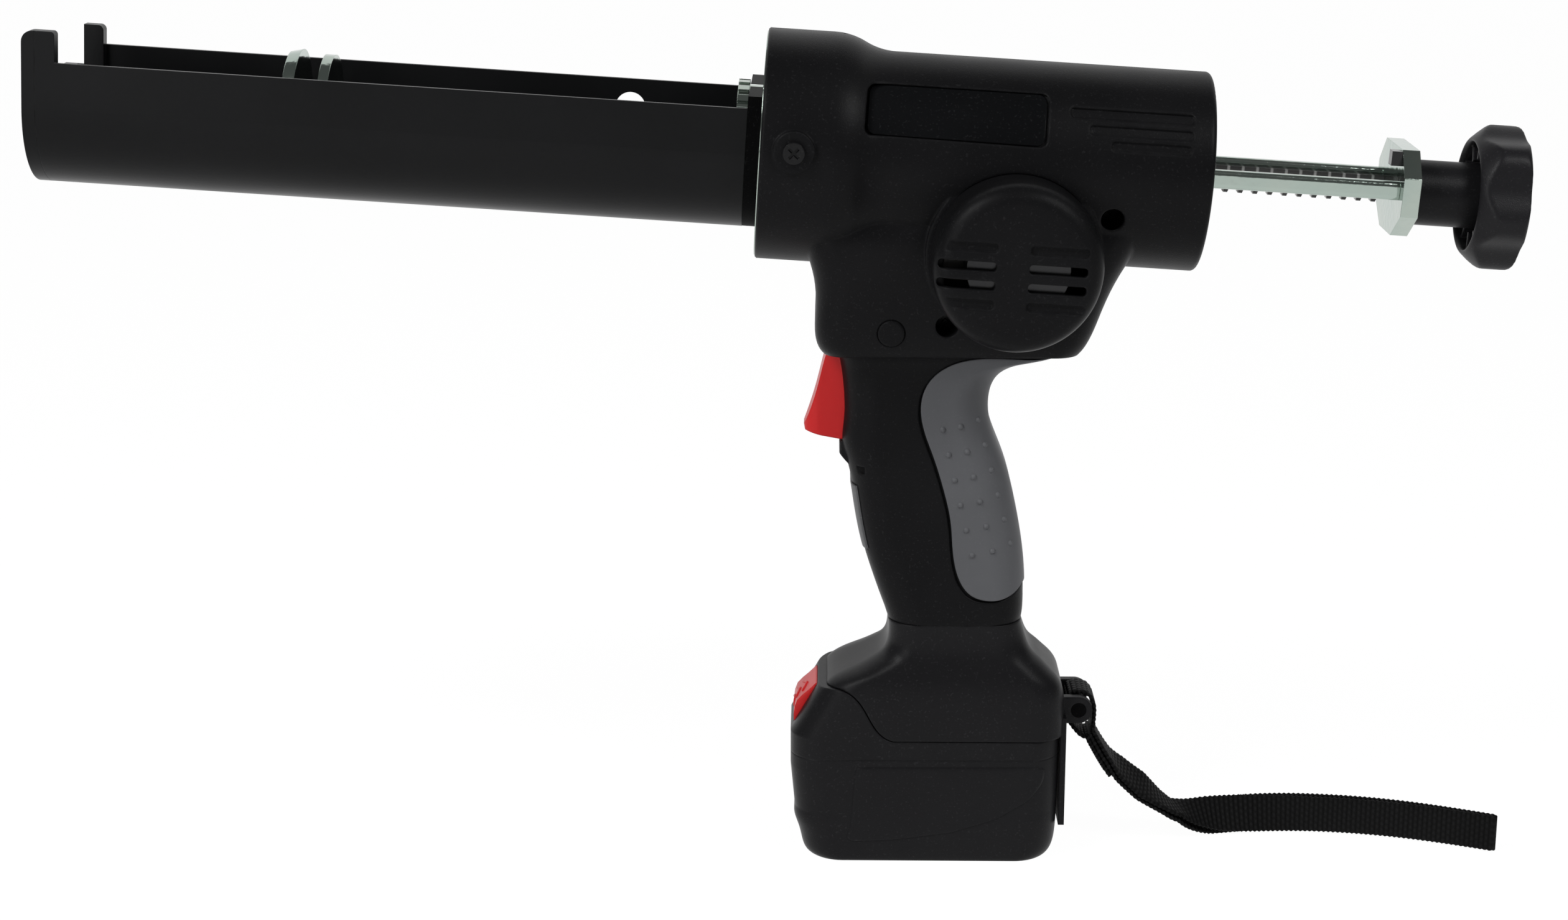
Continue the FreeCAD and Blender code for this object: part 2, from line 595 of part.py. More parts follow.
flange_disc = rod("flange_disc", "{flange_radius}", "{flange_thickness}",
                  ("-{flange_thickness}", "0", "0"))
spigot_tube = rod("spigot_tube", "{spigot_outer}", "{spigot_length}", ("-{spigot_length}", "0", "0"))
spigot_bore = rod("spigot_bore", "{spigot_inner}", "{spigot_length} + 2",
                  ("-{spigot_length} - 1", "0", "0"))
flange_body = fused("flange_body", [flange_disc, spigot_tube])
node("spigot_flange", cut("spigot_flange", flange_body, [spigot_bore]), True)

RING_BACK = "(-{flange_thickness} - {rear_plate_thickness} - 2 * {swivel_gap})"
ring_disc = rod("ring_disc", "{ring_outer}", "{ring_length}", (RING_BACK + " - {ring_length}", "0", "0"))
ring_bore = rod("ring_bore", "{spigot_outer}", "{ring_length} + 2",
                (RING_BACK + " - {ring_length} - 1", "0", "0"))
ring_stack = size("rear_plate_thickness") + 2 * size("swivel_gap") + size("ring_length")
ring_front = -size("flange_thickness") - ring_stack
ring_slots = []
for k in range(int(size("ring_slots"))):
    notch = doc.addObject("Part::Box", f"ring_notch_{k}")
    bind(notch, Length="{ring_length} + 2", Width="{ring_slot_width}", Height="{ring_slot_depth} + 2")
    turn = Rotation(Vector(1, 0, 0), 360.0 * k / size("ring_slots"))
    shift = turn.multVec(Vector(0, -size("ring_slot_width") / 2,
                                size("ring_outer") - size("ring_slot_depth")))
    notch.Placement = Placement(Vector(ring_front - 1.0, shift.y, shift.z), turn)
    ring_slots.append(notch)
node("lock_ring", cut("lock_ring", ring_disc, [ring_bore] + ring_slots), True)


# Cradle

CRADLE_BACK = "(-{flange_thickness} - {swivel_gap})"
CRADLE_FRONT = "(-{flange_thickness} - {swivel_gap} - {cradle_length})"
TROUGH_LENGTH = "({cradle_length} - {rear_plate_thickness} - {front_plate_thickness})"
TROUGH_FRONT = CRADLE_FRONT + " + {front_plate_thickness}"


def u_form(name, radius, rise, length, start):
    """A bar of U section: a half round below straight sides that rise above the axis."""
    bar = rod(name + "_round", radius, length, (start, "0", "0"))
    upper = block(name + "_upper", (length, f"2 * {radius}", rise), (start, f"-{radius}", "0"))
    whole = fused(name + "_whole", [bar, upper])
    lid = block(name + "_lid", (f"{length} + 2", f"2 * {radius} + 2", f"{radius} + 1"),
                (f"{start} - 1", f"-{radius} - 1", rise))
    return cut(name, whole, [lid])


trough_outer = u_form("trough_outer", "{cradle_radius}", "{cradle_rise}", TROUGH_LENGTH, TROUGH_FRONT)
trough_inner = u_form("trough_inner", "({cradle_radius} - {cradle_wall})", "({cradle_rise} + 5)",
                      "(" + TROUGH_LENGTH + " + 2)", TROUGH_FRONT + " - 1")
peep_hole = rod("peep_hole", "{peep_hole_radius}", "{cradle_radius}",
                (CRADLE_FRONT + " + {peep_hole_from_front}", "{cradle_radius} / 2",
                 "{cradle_rise} - {peep_hole_drop}"), "Y")
far_notch = block("far_notch", ("{far_prong_start} + 1", "{cradle_radius}", "{near_prong_rise}"),
                  (CRADLE_FRONT + " - 1", "{nozzle_slot} / 2", "{far_side_rise}"))
tray = cut("tray", trough_outer, [trough_inner, peep_hole, far_notch])


def prong(name, length, place, span, corner, at_front=False):
    """A raised tab at the front of the cradle, with its upper front or rear corner rounded."""
    start, y = place
    low, high = span
    base = block(name + "_base", (length, "{prong_width}", f"{high} - ({low})"), (start, y, low))
    doc.recompute()
    item = doc.addObject("Part::Fillet", name)
    item.Base = base
    box = base.Shape.BoundBox
    end = box.XMin if at_front else box.XMax
    top = [k for k, edge in enumerate(base.Shape.Edges, start=1)
           if edge.BoundBox.ZMin > box.ZMax - 0.01 and abs(edge.BoundBox.XMin - end) < 0.01
           and edge.BoundBox.XLength < 0.01]
    item.Edges = [(k, corner, corner) for k in top]
    return item


HORN_CORNER, NEAR_CORNER, FAR_CORNER = 3.6, 1.2, 1.8
near_prong = prong("near_prong", "{near_prong_length} - {front_plate_thickness}",
                   (TROUGH_FRONT, "-{cradle_radius}"), ("{cradle_rise} - 4", "{near_prong_rise}"),
                   NEAR_CORNER)
far_prong = prong("far_prong", "{far_prong_length}",
                  (CRADLE_FRONT + " + {far_prong_start}", "{cradle_radius} - {prong_width}"),
                  ("0.5", "{far_prong_rise}"), FAR_CORNER)
node("cradle_trough", fused("cradle_trough", [tray, near_prong, far_prong]), True)

front_blank = u_form("front_blank", "{cradle_radius}", "{cradle_rise}", "{front_plate_thickness}",
                     CRADLE_FRONT)
near_horn = prong("near_horn", "{front_plate_thickness}", (CRADLE_FRONT, "-{cradle_radius}"),
                  ("0", "{near_prong_rise}"), HORN_CORNER, True)
front_form = fused("front_form", [front_blank, near_horn])
slot_round = rod("slot_round", "{nozzle_slot} / 2", "{front_plate_thickness} + 2",
                 (CRADLE_FRONT + " - 1", "0", "0"))
slot_open = block("slot_open", ("{front_plate_thickness} + 2", "{nozzle_slot}", "{near_prong_rise} + 5"),
                  (CRADLE_FRONT + " - 1", "-{nozzle_slot} / 2", "0"))
node("cradle_front_plate", cut("cradle_front_plate", front_form, [slot_round, slot_open, far_notch]), True)

rear_blank = u_form("rear_blank", "{rear_plate_half_width}", "{rear_plate_rise}",
                    "{rear_plate_thickness}",
                    CRADLE_BACK + " - {rear_plate_thickness}")
rear_hole = rod("rear_hole", "{spigot_outer} + {running_clearance} * 2", "{rear_plate_thickness} + 2",
                (CRADLE_BACK + " - {rear_plate_thickness} - 1", "0", "0"))
node("cradle_rear_plate", cut("cradle_rear_plate", rear_blank, [rear_hole]), True)


# Push rod: two rails with racks, end plate, knob and plunger

for side, sign in (("left", "-"), ("right", "")):
    bar = block(f"{side}_rail_bar", ("{end_plate_at} - {rail_start}", "{rail_width}", "{rail_height}"),
                ("{rail_start}", f"{sign}{{rail_offset}} - {{rail_width}} / 2",
                 "{rail_middle} - {rail_height} / 2"))
    doc.recompute()
    rounded = doc.addObject("Part::Fillet", f"{side}_rail")
    rounded.Base = bar
    long_edges = [k for k, edge in enumerate(bar.Shape.Edges, start=1) if edge.Length > 100.0]
    rounded.Edges = [(k, size("rail_edge"), size("rail_edge")) for k in long_edges]
    node(f"{side}_rail", rounded, True)


def rack_shape():
    """One toothed strip, teeth down, with a gap over the pinion's shaft."""
    module, stub = size("rack_module"), size("stub_factor")
    pitch = math.pi * module
    tip, root = -size("rack_pitch_drop") - stub * module, -size("rack_pitch_drop") + (stub + 0.25) * module
    lean = math.tan(math.radians(20.0))
    start, end = size("rail_start"), size("end_plate_at")
    over_shaft = size("shaft_along")
    half = pitch / 4 - size("backlash") / 4
    tip_half, root_half = half - stub * module * lean, half + (stub + 0.25) * module * lean
    first = math.ceil((start - over_shaft + pitch) / pitch)
    last = math.floor((end - over_shaft - pitch) / pitch)
    points = [Vector(start, 0, root)]
    for k in range(first, last):
        middle = over_shaft + (k + 0.5) * pitch
        points += [Vector(middle - root_half, 0, root), Vector(middle - tip_half, 0, tip),
                   Vector(middle + tip_half, 0, tip), Vector(middle + root_half, 0, root)]
    top = tip + size("rack_height")
    points += [Vector(end, 0, root), Vector(end, 0, top), Vector(start, 0, top)]
    face = Part.Face(Part.makePolygon(points + points[:1]))
    face.translate(Vector(0, size("rack_inner"), 0))
    return face.extrude(Vector(0, size("rack_width"), 0))


right_strip = rack_shape()
barrel_node("left_rack", right_strip.mirror(Vector(), Vector(0, 1, 0)))
barrel_node("right_rack", right_strip)


def end_plate_shape():
    """The shield-shaped plate that ties the rails together."""
    half, top, low = size("end_plate_half_width"), size("end_plate_rise"), -size("end_plate_drop")
    trim, x = size("end_plate_chamfer"), size("end_plate_at")
    corners = [(half, top - trim), (half - trim, top), (trim - half, top), (-half, top - trim),
               (-half, low + trim), (1.5 * trim - half, low), (half - 1.5 * trim, low),
               (half, low + trim)]
    points = [Vector(x, y, z) for y, z in corners]
    return Part.Face(Part.makePolygon(points + points[:1])).extrude(Vector(size("end_plate_thickness"), 0,
                                                                           0))


barrel_node("end_plate", end_plate_shape())
node("limit_nut", block("limit_nut", ("{nut_depth}", "{nut_width}", "{nut_width}"),
                        ("{end_plate_at} - {nut_depth}", "-{nut_side} - {nut_width} / 2",
                         "{nut_rise} - {nut_width} / 2")), True)
node("knob_stem", rod("knob_stem", "{stem_radius}", "{knob_start} + {knob_hollow_depth} - {stem_start}",
                      ("{stem_start}", "0", "-{knob_drop}")), True)


def knob_shape():
    """The lobed pull knob, hollow towards the tool."""
    start = size("knob_start")
    radius, length = size("knob_radius"), size("knob_length")
    along = Vector(1, 0, 0)
    body = Part.makeCylinder(radius, length, Vector(start, 0, 0), along)
    rims = [edge for edge in body.Edges if edge.Closed]
    body = body.makeFillet(length / 6, rims)
    hollow = Part.makeCylinder(size("knob_hollow_radius"), size("knob_hollow_depth"), Vector(start, 0, 0),
                               along)
    scallops = []
    lobes = int(size("knob_lobes"))
    for k in range(lobes):
        turn = 2 * math.pi * (k + 0.5) / lobes
        reach = radius + 0.62 * size("knob_scallop")
        middle = Vector(start - 1, reach * math.sin(turn), reach * math.cos(turn))
        scallops.append(Part.makeCylinder(size("knob_scallop"), length + 2, middle, along))
    knob = largest(body.cut([hollow, *scallops]))
    knob.translate(Vector(0, 0, -size("knob_drop")))
    return knob


barrel_node("pull_knob", knob_shape())
node("pusher_disc", rod("pusher_disc", "{pusher_radius}", "{pusher_thickness}",
                        ("-{pusher_reach}", "0", "0")), True)
node("piston_disc", cone("piston_disc", ("{piston_front_radius}", "{piston_radius}"),
                         "{piston_thickness}",
                         ("-{plunger_reach}", "0", "0")), True)
node("plunger_bolt", rod("plunger_bolt", "{bolt_radius}", "{plunger_gap}",
                         ("-{plunger_reach} + {piston_thickness}", "0", "0")), True)


# Drive: frame, shaft, gears, motor

def gear_shape(module, teeth, width, bore, tooth_up):
    """A spur gear about Y with involute flanks, one tooth at the given angle from +X towards +Z."""
    stub, angle = size("stub_factor"), math.radians(20.0)
    radius = module * teeth / 2
    base, tip, root = radius * math.cos(angle), radius + stub * module, radius - (stub + 0.25) * module
    at_pitch = math.pi / 2 / teeth - size("backlash") / 4 / radius + math.tan(angle) - angle

    def half_angle(r):
        lean = math.acos(min(1.0, base / r))
        return at_pitch - (math.tan(lean) - lean)

    def spot(r, turn):
        return Vector(r * math.cos(turn), 0, r * math.sin(turn))

    low = max(root, base)
    steps = [low + (tip - low) * k / 4 for k in range(5)]
    edges = []
    for k in range(teeth):
        middle = tooth_up + 2 * math.pi * k / teeth
        after = middle + 2 * math.pi / teeth
        rise = [spot(root, middle - half_angle(low))] if root < low else []
        rise += [spot(r, middle - half_angle(r)) for r in steps]
        fall = [spot(r, middle + half_angle(r)) for r in reversed(steps)]
        fall += [spot(root, middle + half_angle(low))] if root < low else []
        flanks = Part.makePolygon(rise + [spot(tip, middle)] + fall)
        edges += flanks.Edges
        foot = spot(root, after - half_angle(low))
        edges.append(Part.makeLine(fall[-1], foot))
    face = Part.Face(Part.Wire(edges))
    face.translate(Vector(0, -width / 2, 0))
    gear = face.extrude(Vector(0, width, 0))
    return gear.cut(along_y(bore, 0, 0, -width, width)) if bore else gear


def shaft_gear(label, shape, shaft, y=0.0):
    """A gear drawn about Y, moved to its shaft in the barrel frame."""
    shape.translate(Vector(size(shaft + "_along"), y, size(shaft + "_up")))
    barrel_node(label, shape)


def across(name, radius, y_from, y_to, place):
    """A round bar along Y at a place given by its expressions along and up."""
    return rod(name, radius, f"{y_to} - ({y_from})", (place[0], y_from, place[1]), "Y")


SHAFT_PLACE, MOTOR_PLACE = ("{shaft_along}", "{shaft_up}"), ("{motor_along}", "{motor_up}")
mesh_line = math.atan2(size("motor_up") - size("shaft_up"), size("motor_along") - size("shaft_along"))
output_gap = mesh_line + math.pi + math.pi / size("output_pinion_teeth")
rack_middle = size("rack_inner") + size("rack_width") / 2
for label, y in (("left_pinion", -rack_middle), ("right_pinion", rack_middle)):
    wheel = gear_shape(size("rack_module"), int(size("rack_pinion_teeth")), size("rack_width"),
                       size("shaft_radius"), math.pi / 2)
    shaft_gear(label, wheel, "shaft", y)
final = gear_shape(size("gear_module"), int(size("final_gear_teeth")), size("final_gear_width"),
                   size("shaft_radius"), mesh_line)
shaft_gear("final_gear", final, "shaft")
output = gear_shape(size("gear_module"), int(size("output_pinion_teeth")), size("final_gear_width") + 1.0,
                    0.0, output_gap)
stem = along_y(size("output_shaft_radius"), 0, 0, size("output_start"), size("frame_outer") - 0.2)
shaft_gear("output_pinion", output.fuse(stem).removeSplitter(), "motor")
node("pinion_shaft", across("pinion_shaft", "{shaft_radius}", "0.2 - {frame_outer}",
                            "{frame_outer} - 0.2", SHAFT_PLACE), True)

FRAME_CORNERS = [("{post_front} - {post_margin}", "{post_low} - {post_margin}"),
                 ("{post_rear} + {post_margin}", "{post_low} - {post_margin}"),
                 ("{post_rear} + {post_margin}", "{post_high} + {post_margin}"),
                 ("{post_front} - {post_margin}", "{post_high} + {post_margin}")]
for side, sign, output_bore in (("left", "-", "{output_shaft_radius} + 0.3"),
                                ("right", "", "{bush_radius} - 1")):
    name = f"frame_plate_{side}"
    blank = extruded(name + "_blank", FRAME_CORNERS, "{frame_plate_thickness}",
                     f"{sign}({{frame_inner}} + {{frame_plate_thickness}} / 2)")
    reach = ("-{frame_outer} - 1", "1 - {frame_inner}") if sign else ("{frame_inner} - 1",
                                                                      "{frame_outer} + 1")
    holes = [across(name + "_shaft_hole", "{bush_radius}", *reach, SHAFT_PLACE),
             across(name + "_output_hole", output_bore, *reach, MOTOR_PLACE)]
    node(name, cut(name, blank, holes), True)
post_places = [(along, up) for along in ("{post_front}", "{post_rear}") for up in ("{post_high}",
                                                                                   "{post_low}")]
posts = [across(f"frame_post_{k}", "{frame_post_radius}", "-{frame_inner}", "{frame_inner}", place)
         for k, place in enumerate(post_places)]
node("frame_posts", group("frame_posts", posts), True)


def bush(name, outer, bore, side, place):
    """A plain bearing in one frame plate."""
    reach = ("-{frame_outer}", "-{frame_inner}") if side == "left" else ("{frame_inner}", "{frame_outer}")
    ring = across(name + "_ring", outer, *reach, place)
    hole = across(name + "_bore", f"{bore} + {{running_clearance}}", f"{reach[0]} - 1", f"{reach[1]} + 1",
                  place)
    return cut(name, ring, [hole])


bushes = [bush("left_bush", "{bush_radius}", "{shaft_radius}", "left", SHAFT_PLACE),
          bush("right_bush", "{bush_radius}", "{shaft_radius}", "right", SHAFT_PLACE),
          bush("output_bush", "{bush_radius} - 1", "{output_shaft_radius}", "right", MOTOR_PLACE)]
node("shaft_bushes", group("shaft_bushes", bushes), True)
gearbox = across("gearbox_round", "{gearbox_radius}", "-{frame_outer} - {gearbox_length}",
                 "-{frame_outer}", MOTOR_PLACE)
gearbox_bore = across("gearbox_bore", "{output_shaft_radius} + {running_clearance}",
                      "{output_start} - 0.3",
                      "1 - {frame_outer}", MOTOR_PLACE)
node("gearbox_case", cut("gearbox_case", gearbox, [gearbox_bore]), True)
node("motor_can", across("motor_can", "{motor_radius}",
                         "-{frame_outer} - {gearbox_length} - {motor_length}",
                         "-{frame_outer} - {gearbox_length}", MOTOR_PLACE), True)


VENT_ROUNDING = 1.2


def cover_shape():
    """The round vented cover over the motor."""
    base, height = -size("motor_boss_reach"), size("cover_height")
    radius, wall, edge = size("cover_radius"), size("cover_wall"), size("cover_edge")
    dome = along_y(radius, 0, 0, base - height, base)
    front = [e for e in dome.Edges if e.Closed and e.BoundBox.YMax < base - height + 0.1]
    dome = dome.makeFillet(edge, front)
    hollow = along_y(radius - wall, 0, 0, base - height + wall, base + 1)
    back = [e for e in hollow.Edges if e.Closed and e.BoundBox.YMax < base - height + wall + 0.1]
    hollow = hollow.makeFillet(edge - wall / 2, back)
    cover = dome.cut(hollow)
    long, tall, pitch = size("vent_length"), size("vent_height"), size("vent_pitch")
    vents = []
    for row in (-1.5, -0.5, 0.5, 1.5):
        depth = wall + 2.0 if abs(row) < 1 else 1.0
        for column in (-1, 1):
            x = column * size("vent_columns") / 2 - long / 2 - size("vent_back")
            z = row * pitch - tall / 2 - size("vent_drop")
            vent = Part.makeBox(long, depth + 1.0, tall, Vector(x, base - height - 1.0, z))
            ends = [e for e in vent.Edges if e.BoundBox.YLength > depth]
            vents.append(vent.makeFillet(VENT_ROUNDING, ends))
    cover = cover.cut(vents)
    cover.rotate(Vector(), Vector(0, 1, 0), size("barrel_tilt"))
    cover.translate(Vector(size("motor_x"), 0, size("motor_z")))
    return largest(cover)


node("motor_cover", solid("motor_cover", cover_shape()))


def guide_shape():
    """The block at the back of the barrel that the rails run in."""
    end = size("barrel_length") - size("wall")
    return guide_disc(0.0).cut(rod_slots(size("fit_gap"), end - 2 * GUIDE_THICKNESS, end + 1.0))


barrel_node("rear_guide", guide_shape())


# Trigger, its spring, switch and electronics

TRIGGER_FRONT = [(-32.2, 175.6), (-34.0, 170.4), (-35.6, 164.0), (-37.2, 157.8), (-39.0, 152.2),
                 (-40.8, 147.6)]
TRIGGER_REST = [(-40.4, 145.8), (-35.0, 144.4), (-29.0, 143.3), (-19.0, 143.1), (-19.0, 175.6)]
SWITCH_FRONT, SWITCH_REAR, SWITCH_LOW, SWITCH_HIGH = -10.0, 9.0, 143.0, 166.0
SPRING_Z = 157.0


def trigger_shape():
    """The trigger, rounded in plan and hollowed a little along its front."""
    half = size("trigger_half_width")
    profile = curved_slab(TRIGGER_FRONT, TRIGGER_REST, half)
    plan = Part.Face(ring_section(130.0, -46.0, -19.0, half, 0.9 * half)).extrude(Vector(0, 0, 60.0))
    lean = Part.Face(ring_section(130.0, -41.0, 20.0, half, 0.8 * half)).extrude(Vector(0, 0, 60.0))
    return largest(profile.common(plan).common(lean))


def coil(radius, wire, turns, length, start, direction):
    """A closed-wire helical spring from a start point along a direction."""
    free = length - wire
    helix = Part.makeHelix(free / turns, free, radius)
    profile = Part.Wire(Part.makeCircle(wire / 2, Vector(radius, 0, 0), Vector(0, 1, 0)))
    shape = Part.Wire(helix).makePipeShell([profile], True, True)
    shape.translate(Vector(0, 0, wire / 2))
    shape.Placement = Placement(start, Rotation(Vector(0, 0, 1), direction)).multiply(shape.Placement)
    return shape


node("trigger", solid("trigger", trigger_shape()))
spring_room = SWITCH_FRONT - TRIGGER_REST[-1][0]
node("trigger_spring", solid("trigger_spring",
                             coil(size("spring_radius"), size("spring_wire"), 3, spring_room,
                                                    Vector(TRIGGER_REST[-1][0], 0, SPRING_Z),
                                                    Vector(1, 0, 0))))
inner_half = size("grip_half_width") - size("wall") - 0.3
node("switch_body", block("switch_body",
                          (str(SWITCH_REAR - SWITCH_FRONT), str(2 * inner_half),
                           str(SWITCH_HIGH - SWITCH_LOW)),
                          (str(SWITCH_FRONT), str(-inner_half), str(SWITCH_LOW))))
node("control_board", block("control_board", ("1.6", str(2 * inner_half), "40"),
                            ("3", str(-inner_half), "96")))


# Battery seat at the bottom of the grip

FOOT_FORM = [(FOOT_TOP, -12.6, 31.6, 18.2), (78.6, -12.4, 32.6, 18.1), (74.8, -12.8, 33.8, 18.2),
             (71.2, -14.8, 35.8, 18.8), (67.8, -20.2, 39.4, 19.9), (64.4, -27.6, 42.8, 21.0),
             (61.0, -32.8, 45.2, 21.7), (57.6, -34.6, 46.2, 22.1), (54.2, -35.0, 46.4, 22.2),
             (50.8, -35.0, 46.4, 22.2), (47.2, -35.0, 46.4, 22.2), (43.3, -35.0, 46.4, 22.2)]
FOOT_CORNER, BATTERY_CORNER = 10.0, 11.0
SEAM = [(-36.0, 59.6), (-30.6, 60.7), (-26.6, 60.1), (-22.6, 57.0), (-19.2, 51.4), (-14.3, 44.6),
        (-11.0, 43.0)]
TONGUE_FRONT = -11.0
SLANT_START, SLANT_LEAN = (-45.0, 43.8), math.radians(30.0)


def slant(along, out):
    """A point of the slanted battery front, by distance along it and out of it."""
    x, z = SLANT_START
    across, up = math.sin(SLANT_LEAN), math.cos(SLANT_LEAN)
    return x + along * across - out * up, z + along * up + out * across


def tongue(grow):
    """The T-shaped tongue of the battery, or its slot when grown by a gap."""
    top = size("battery_height")
    front = TONGUE_FRONT - (40.0 if grow else 0.0)
    stem, half, flange = size("tongue_stem_half_width"), size("tongue_half_width"), size("tongue_flange")
    high = size("tongue_height")
    length = TONGUE_FRONT + size("tongue_length") + grow - front
    neck = Part.makeBox(length, 2 * (stem + grow), high + 1, Vector(front, -stem - grow, top - 1))
    head = Part.makeBox(length, 2 * (half + grow), flange + 2 * grow,
                        Vector(front, -half - grow, top + high - flange - grow))
    return neck.common(Part.makeBox(500, 100, high + 1 + grow,
                                    Vector(-250, -50, top - 1))).fuse(head).removeSplitter()


BLOCK_FRONT, BLOCK_REAR, BLOCK_HALF, BLOCK_HEIGHT = 8.0, 32.0, 8.0, 7.0


def foot_shape():
    """The foot of the grip with its slot, rear stop and strap lug."""
    sections = [(z, front, rear, half, FOOT_CORNER) for z, front, rear, half in FOOT_FORM]
    outer = level_loft(sections)
    hollow = level_loft(sections,
                        size("wall")).common(Part.makeBox(200, 100, 60,
                                                          Vector(-100, -50,
                                                                 size("block_base") + BLOCK_HEIGHT)))
    gap = size("seam_gap")
    shifted = [(x + gap, z + gap) for x, z in SEAM]
    front_cut = curved_slab(shifted, [(SEAM[-1][0], 30.0), (-70.0, 30.0), (-70.0, SEAM[0][1] + gap)],
                            40.0)
    pocket = Part.makeBox(BLOCK_REAR - BLOCK_FRONT, 2 * BLOCK_HALF, BLOCK_HEIGHT + 1,
                          Vector(BLOCK_FRONT, -BLOCK_HALF, size("block_base") - 0.5))
    stop_x = size("battery_length") / 2 + gap
    stop = Part.makeBox(size("stop_thickness"), 2 * size("stop_half_width"), 38.0,
                        Vector(stop_x, -size("stop_half_width"), 11.0))
    ears = []
    x, z, radius = size("lug_x"), size("lug_z"), size("lug_radius")
    for y in (size("lug_gap") / 2, -size("lug_gap") / 2 - size("lug_ear")):
        ear = along_y(radius, x, z, y, y + size("lug_ear"))
        ears.append(ear.fuse(Part.makeBox(x - stop_x, size("lug_ear"), 2 * radius,
                                          Vector(stop_x, y, z - radius))))
    whole = outer.cut([hollow, front_cut, tongue(gap)]).cut(pocket).fuse([stop, *ears])
    pin = along_y(size("lug_pin_radius"), x, z, -40.0, 40.0)
    return largest(whole.cut(pin).removeSplitter())


node("battery_foot", solid("battery_foot", foot_shape()))
pin_half = "({lug_gap} / 2 + {lug_ear})"
node("lug_pin", rod("lug_pin", "{lug_pin_radius}", f"2 * {pin_half}",
                    ("{lug_x}", f"-{pin_half}", "{lug_z}"), "Y"))
node("terminal_block", block("terminal_block",
                             (str(BLOCK_REAR - BLOCK_FRONT), str(2 * BLOCK_HALF), str(BLOCK_HEIGHT)),
                             (str(BLOCK_FRONT), str(-BLOCK_HALF), "{block_base}")))
blades = [block(f"blade_{side}", ("18", "{blade_thickness}", "4.2"),
                (str(BLOCK_FRONT + 4.0), f"{sign}{{blade_offset}} - {{blade_thickness}} / 2",
                 "{block_base} - 4.2"))
          for side, sign in (("left", "-"), ("right", ""))]
node("terminal_blades", group("terminal_blades", blades))


# Battery

BATTERY_BASE = [(0.0, 6.6, 3.8, 1.6), (1.3, 5.1, 2.5, 1.0), (4.4, 3.9, 1.2, 0.5), (9.4, 2.7, 0.5, 0.2),
                (17.0, 1.4, 0.2, 0.1)]


CASE_TOP = 19.4


def battery_sections():
    """The battery's level sections, drawn in towards the base."""
    half, wide = size("battery_length") / 2, size("battery_half_width")
    rounded = [(z, front - half, half - rear, wide - narrow, BATTERY_CORNER)
               for z, front, rear, narrow in BATTERY_BASE]
    top = slant(CASE_TOP, 0.0)
    upper = [(32.0, -half), (SLANT_START[1], -half), (top[1], top[0])]
    return rounded, [rounded[-1]] + [(z, front, half, wide, BATTERY_CORNER) for z, front in upper]


def battery_shapes():
    """The two halves of the battery case with their hollow, tongue, contact slots and latch pocket."""
    lower_rows, upper_rows = battery_sections()
    outer = level_loft(lower_rows).fuse(level_loft(upper_rows, ruled=True)).removeSplitter()
    inner = level_loft(lower_rows,
                       size("case_wall")).fuse(level_loft(upper_rows[:-1], size("case_wall"), True))
    under_seam = curved_slab(SEAM,
                             [(80.0, size("battery_height")), (80.0, -5.0), (-70.0, -5.0),
                              (-70.0, SEAM[0][1])], 40.0)
    outer = outer.common(under_seam)
    seam, wall = size("case_seam"), size("case_wall")
    hollow = inner.common(
        Part.makeBox(200, 100, size("battery_height") - 2 * wall, Vector(-100, -50, wall)))
    lower = outer.common(Part.makeBox(200, 100, seam, Vector(-100, -50, 0))).cut(hollow)
    upper = outer.common(Part.makeBox(200, 100, 60,
                                      Vector(-100, -50, seam))).cut(hollow).fuse(tongue(0.0))
    end = TONGUE_FRONT + size("tongue_length")
    slots = [Part.makeBox(end - BLOCK_FRONT + 2, 2.4, 15.0,
                          Vector(BLOCK_FRONT, y - 1.2, size("battery_height") - 4.0))
             for y in (-size("blade_offset"), size("blade_offset"))]
    gap = size("fit_gap")
    deep = -LATCH_DEPTH - LATCH_SPRING_ROOM
    pocket = [slant(LATCH_LOW - gap, 12.0), slant(LATCH_HIGH + gap, 12.0), slant(LATCH_HIGH + gap, deep),
              slant(LATCH_LOW - gap, deep)]
    upper = upper.cut([*slots, slab(pocket, size("latch_half_width") + gap)])
    return largest(lower), largest(upper)


LATCH_LOW, LATCH_HIGH, LATCH_DEPTH, LATCH_SPRING_ROOM = 2.4, 17.6, 4.0, 5.0
LATCH_FACE = [(LATCH_LOW, 0.2), (4.2, 1.3), (6.6, 2.3), (9.0, 2.7), (11.6, 2.1), (14.2, 1.2), (16.4, 0.6)]
lower_shape, upper_shape = battery_shapes()
node("battery_lower_case", solid("battery_lower_case", lower_shape))
node("battery_upper_case", solid("battery_upper_case", upper_shape))
latch_points = [slant(*spot) for spot in [*LATCH_FACE, (LATCH_HIGH, 0.3), (LATCH_HIGH, -LATCH_DEPTH),
                                          (LATCH_LOW, -LATCH_DEPTH)]]
node("battery_latch", solid("battery_latch", slab(latch_points, size("latch_half_width"))))
latch_middle = slant((LATCH_LOW + LATCH_HIGH) / 2, -LATCH_DEPTH)
inward = slant(0.0, -1.0)
push = Vector(inward[0] - SLANT_START[0], 0, inward[1] - SLANT_START[1])
node("latch_spring", solid("latch_spring",
                           coil(size("spring_radius"), size("spring_wire"), 2, LATCH_SPRING_ROOM,
                                                Vector(latch_middle[0], 0, latch_middle[1]), push)))
CELL_FRONT = -31.0
cell_rows = [(y, z) for y in (-1, 1) for z in (0, 1)]
cells = []
for number, (y, z) in enumerate(cell_rows):
    cells.append(rod(f"cell_{number}", "{cell_radius}", "{cell_length}",
                     (str(CELL_FRONT), f"{y} * ({{cell_radius}} + 0.05)",
                      f"{{cell_lift}} + {{cell_radius}} + {z} * (2 * {{cell_radius}} + 0.1)")))
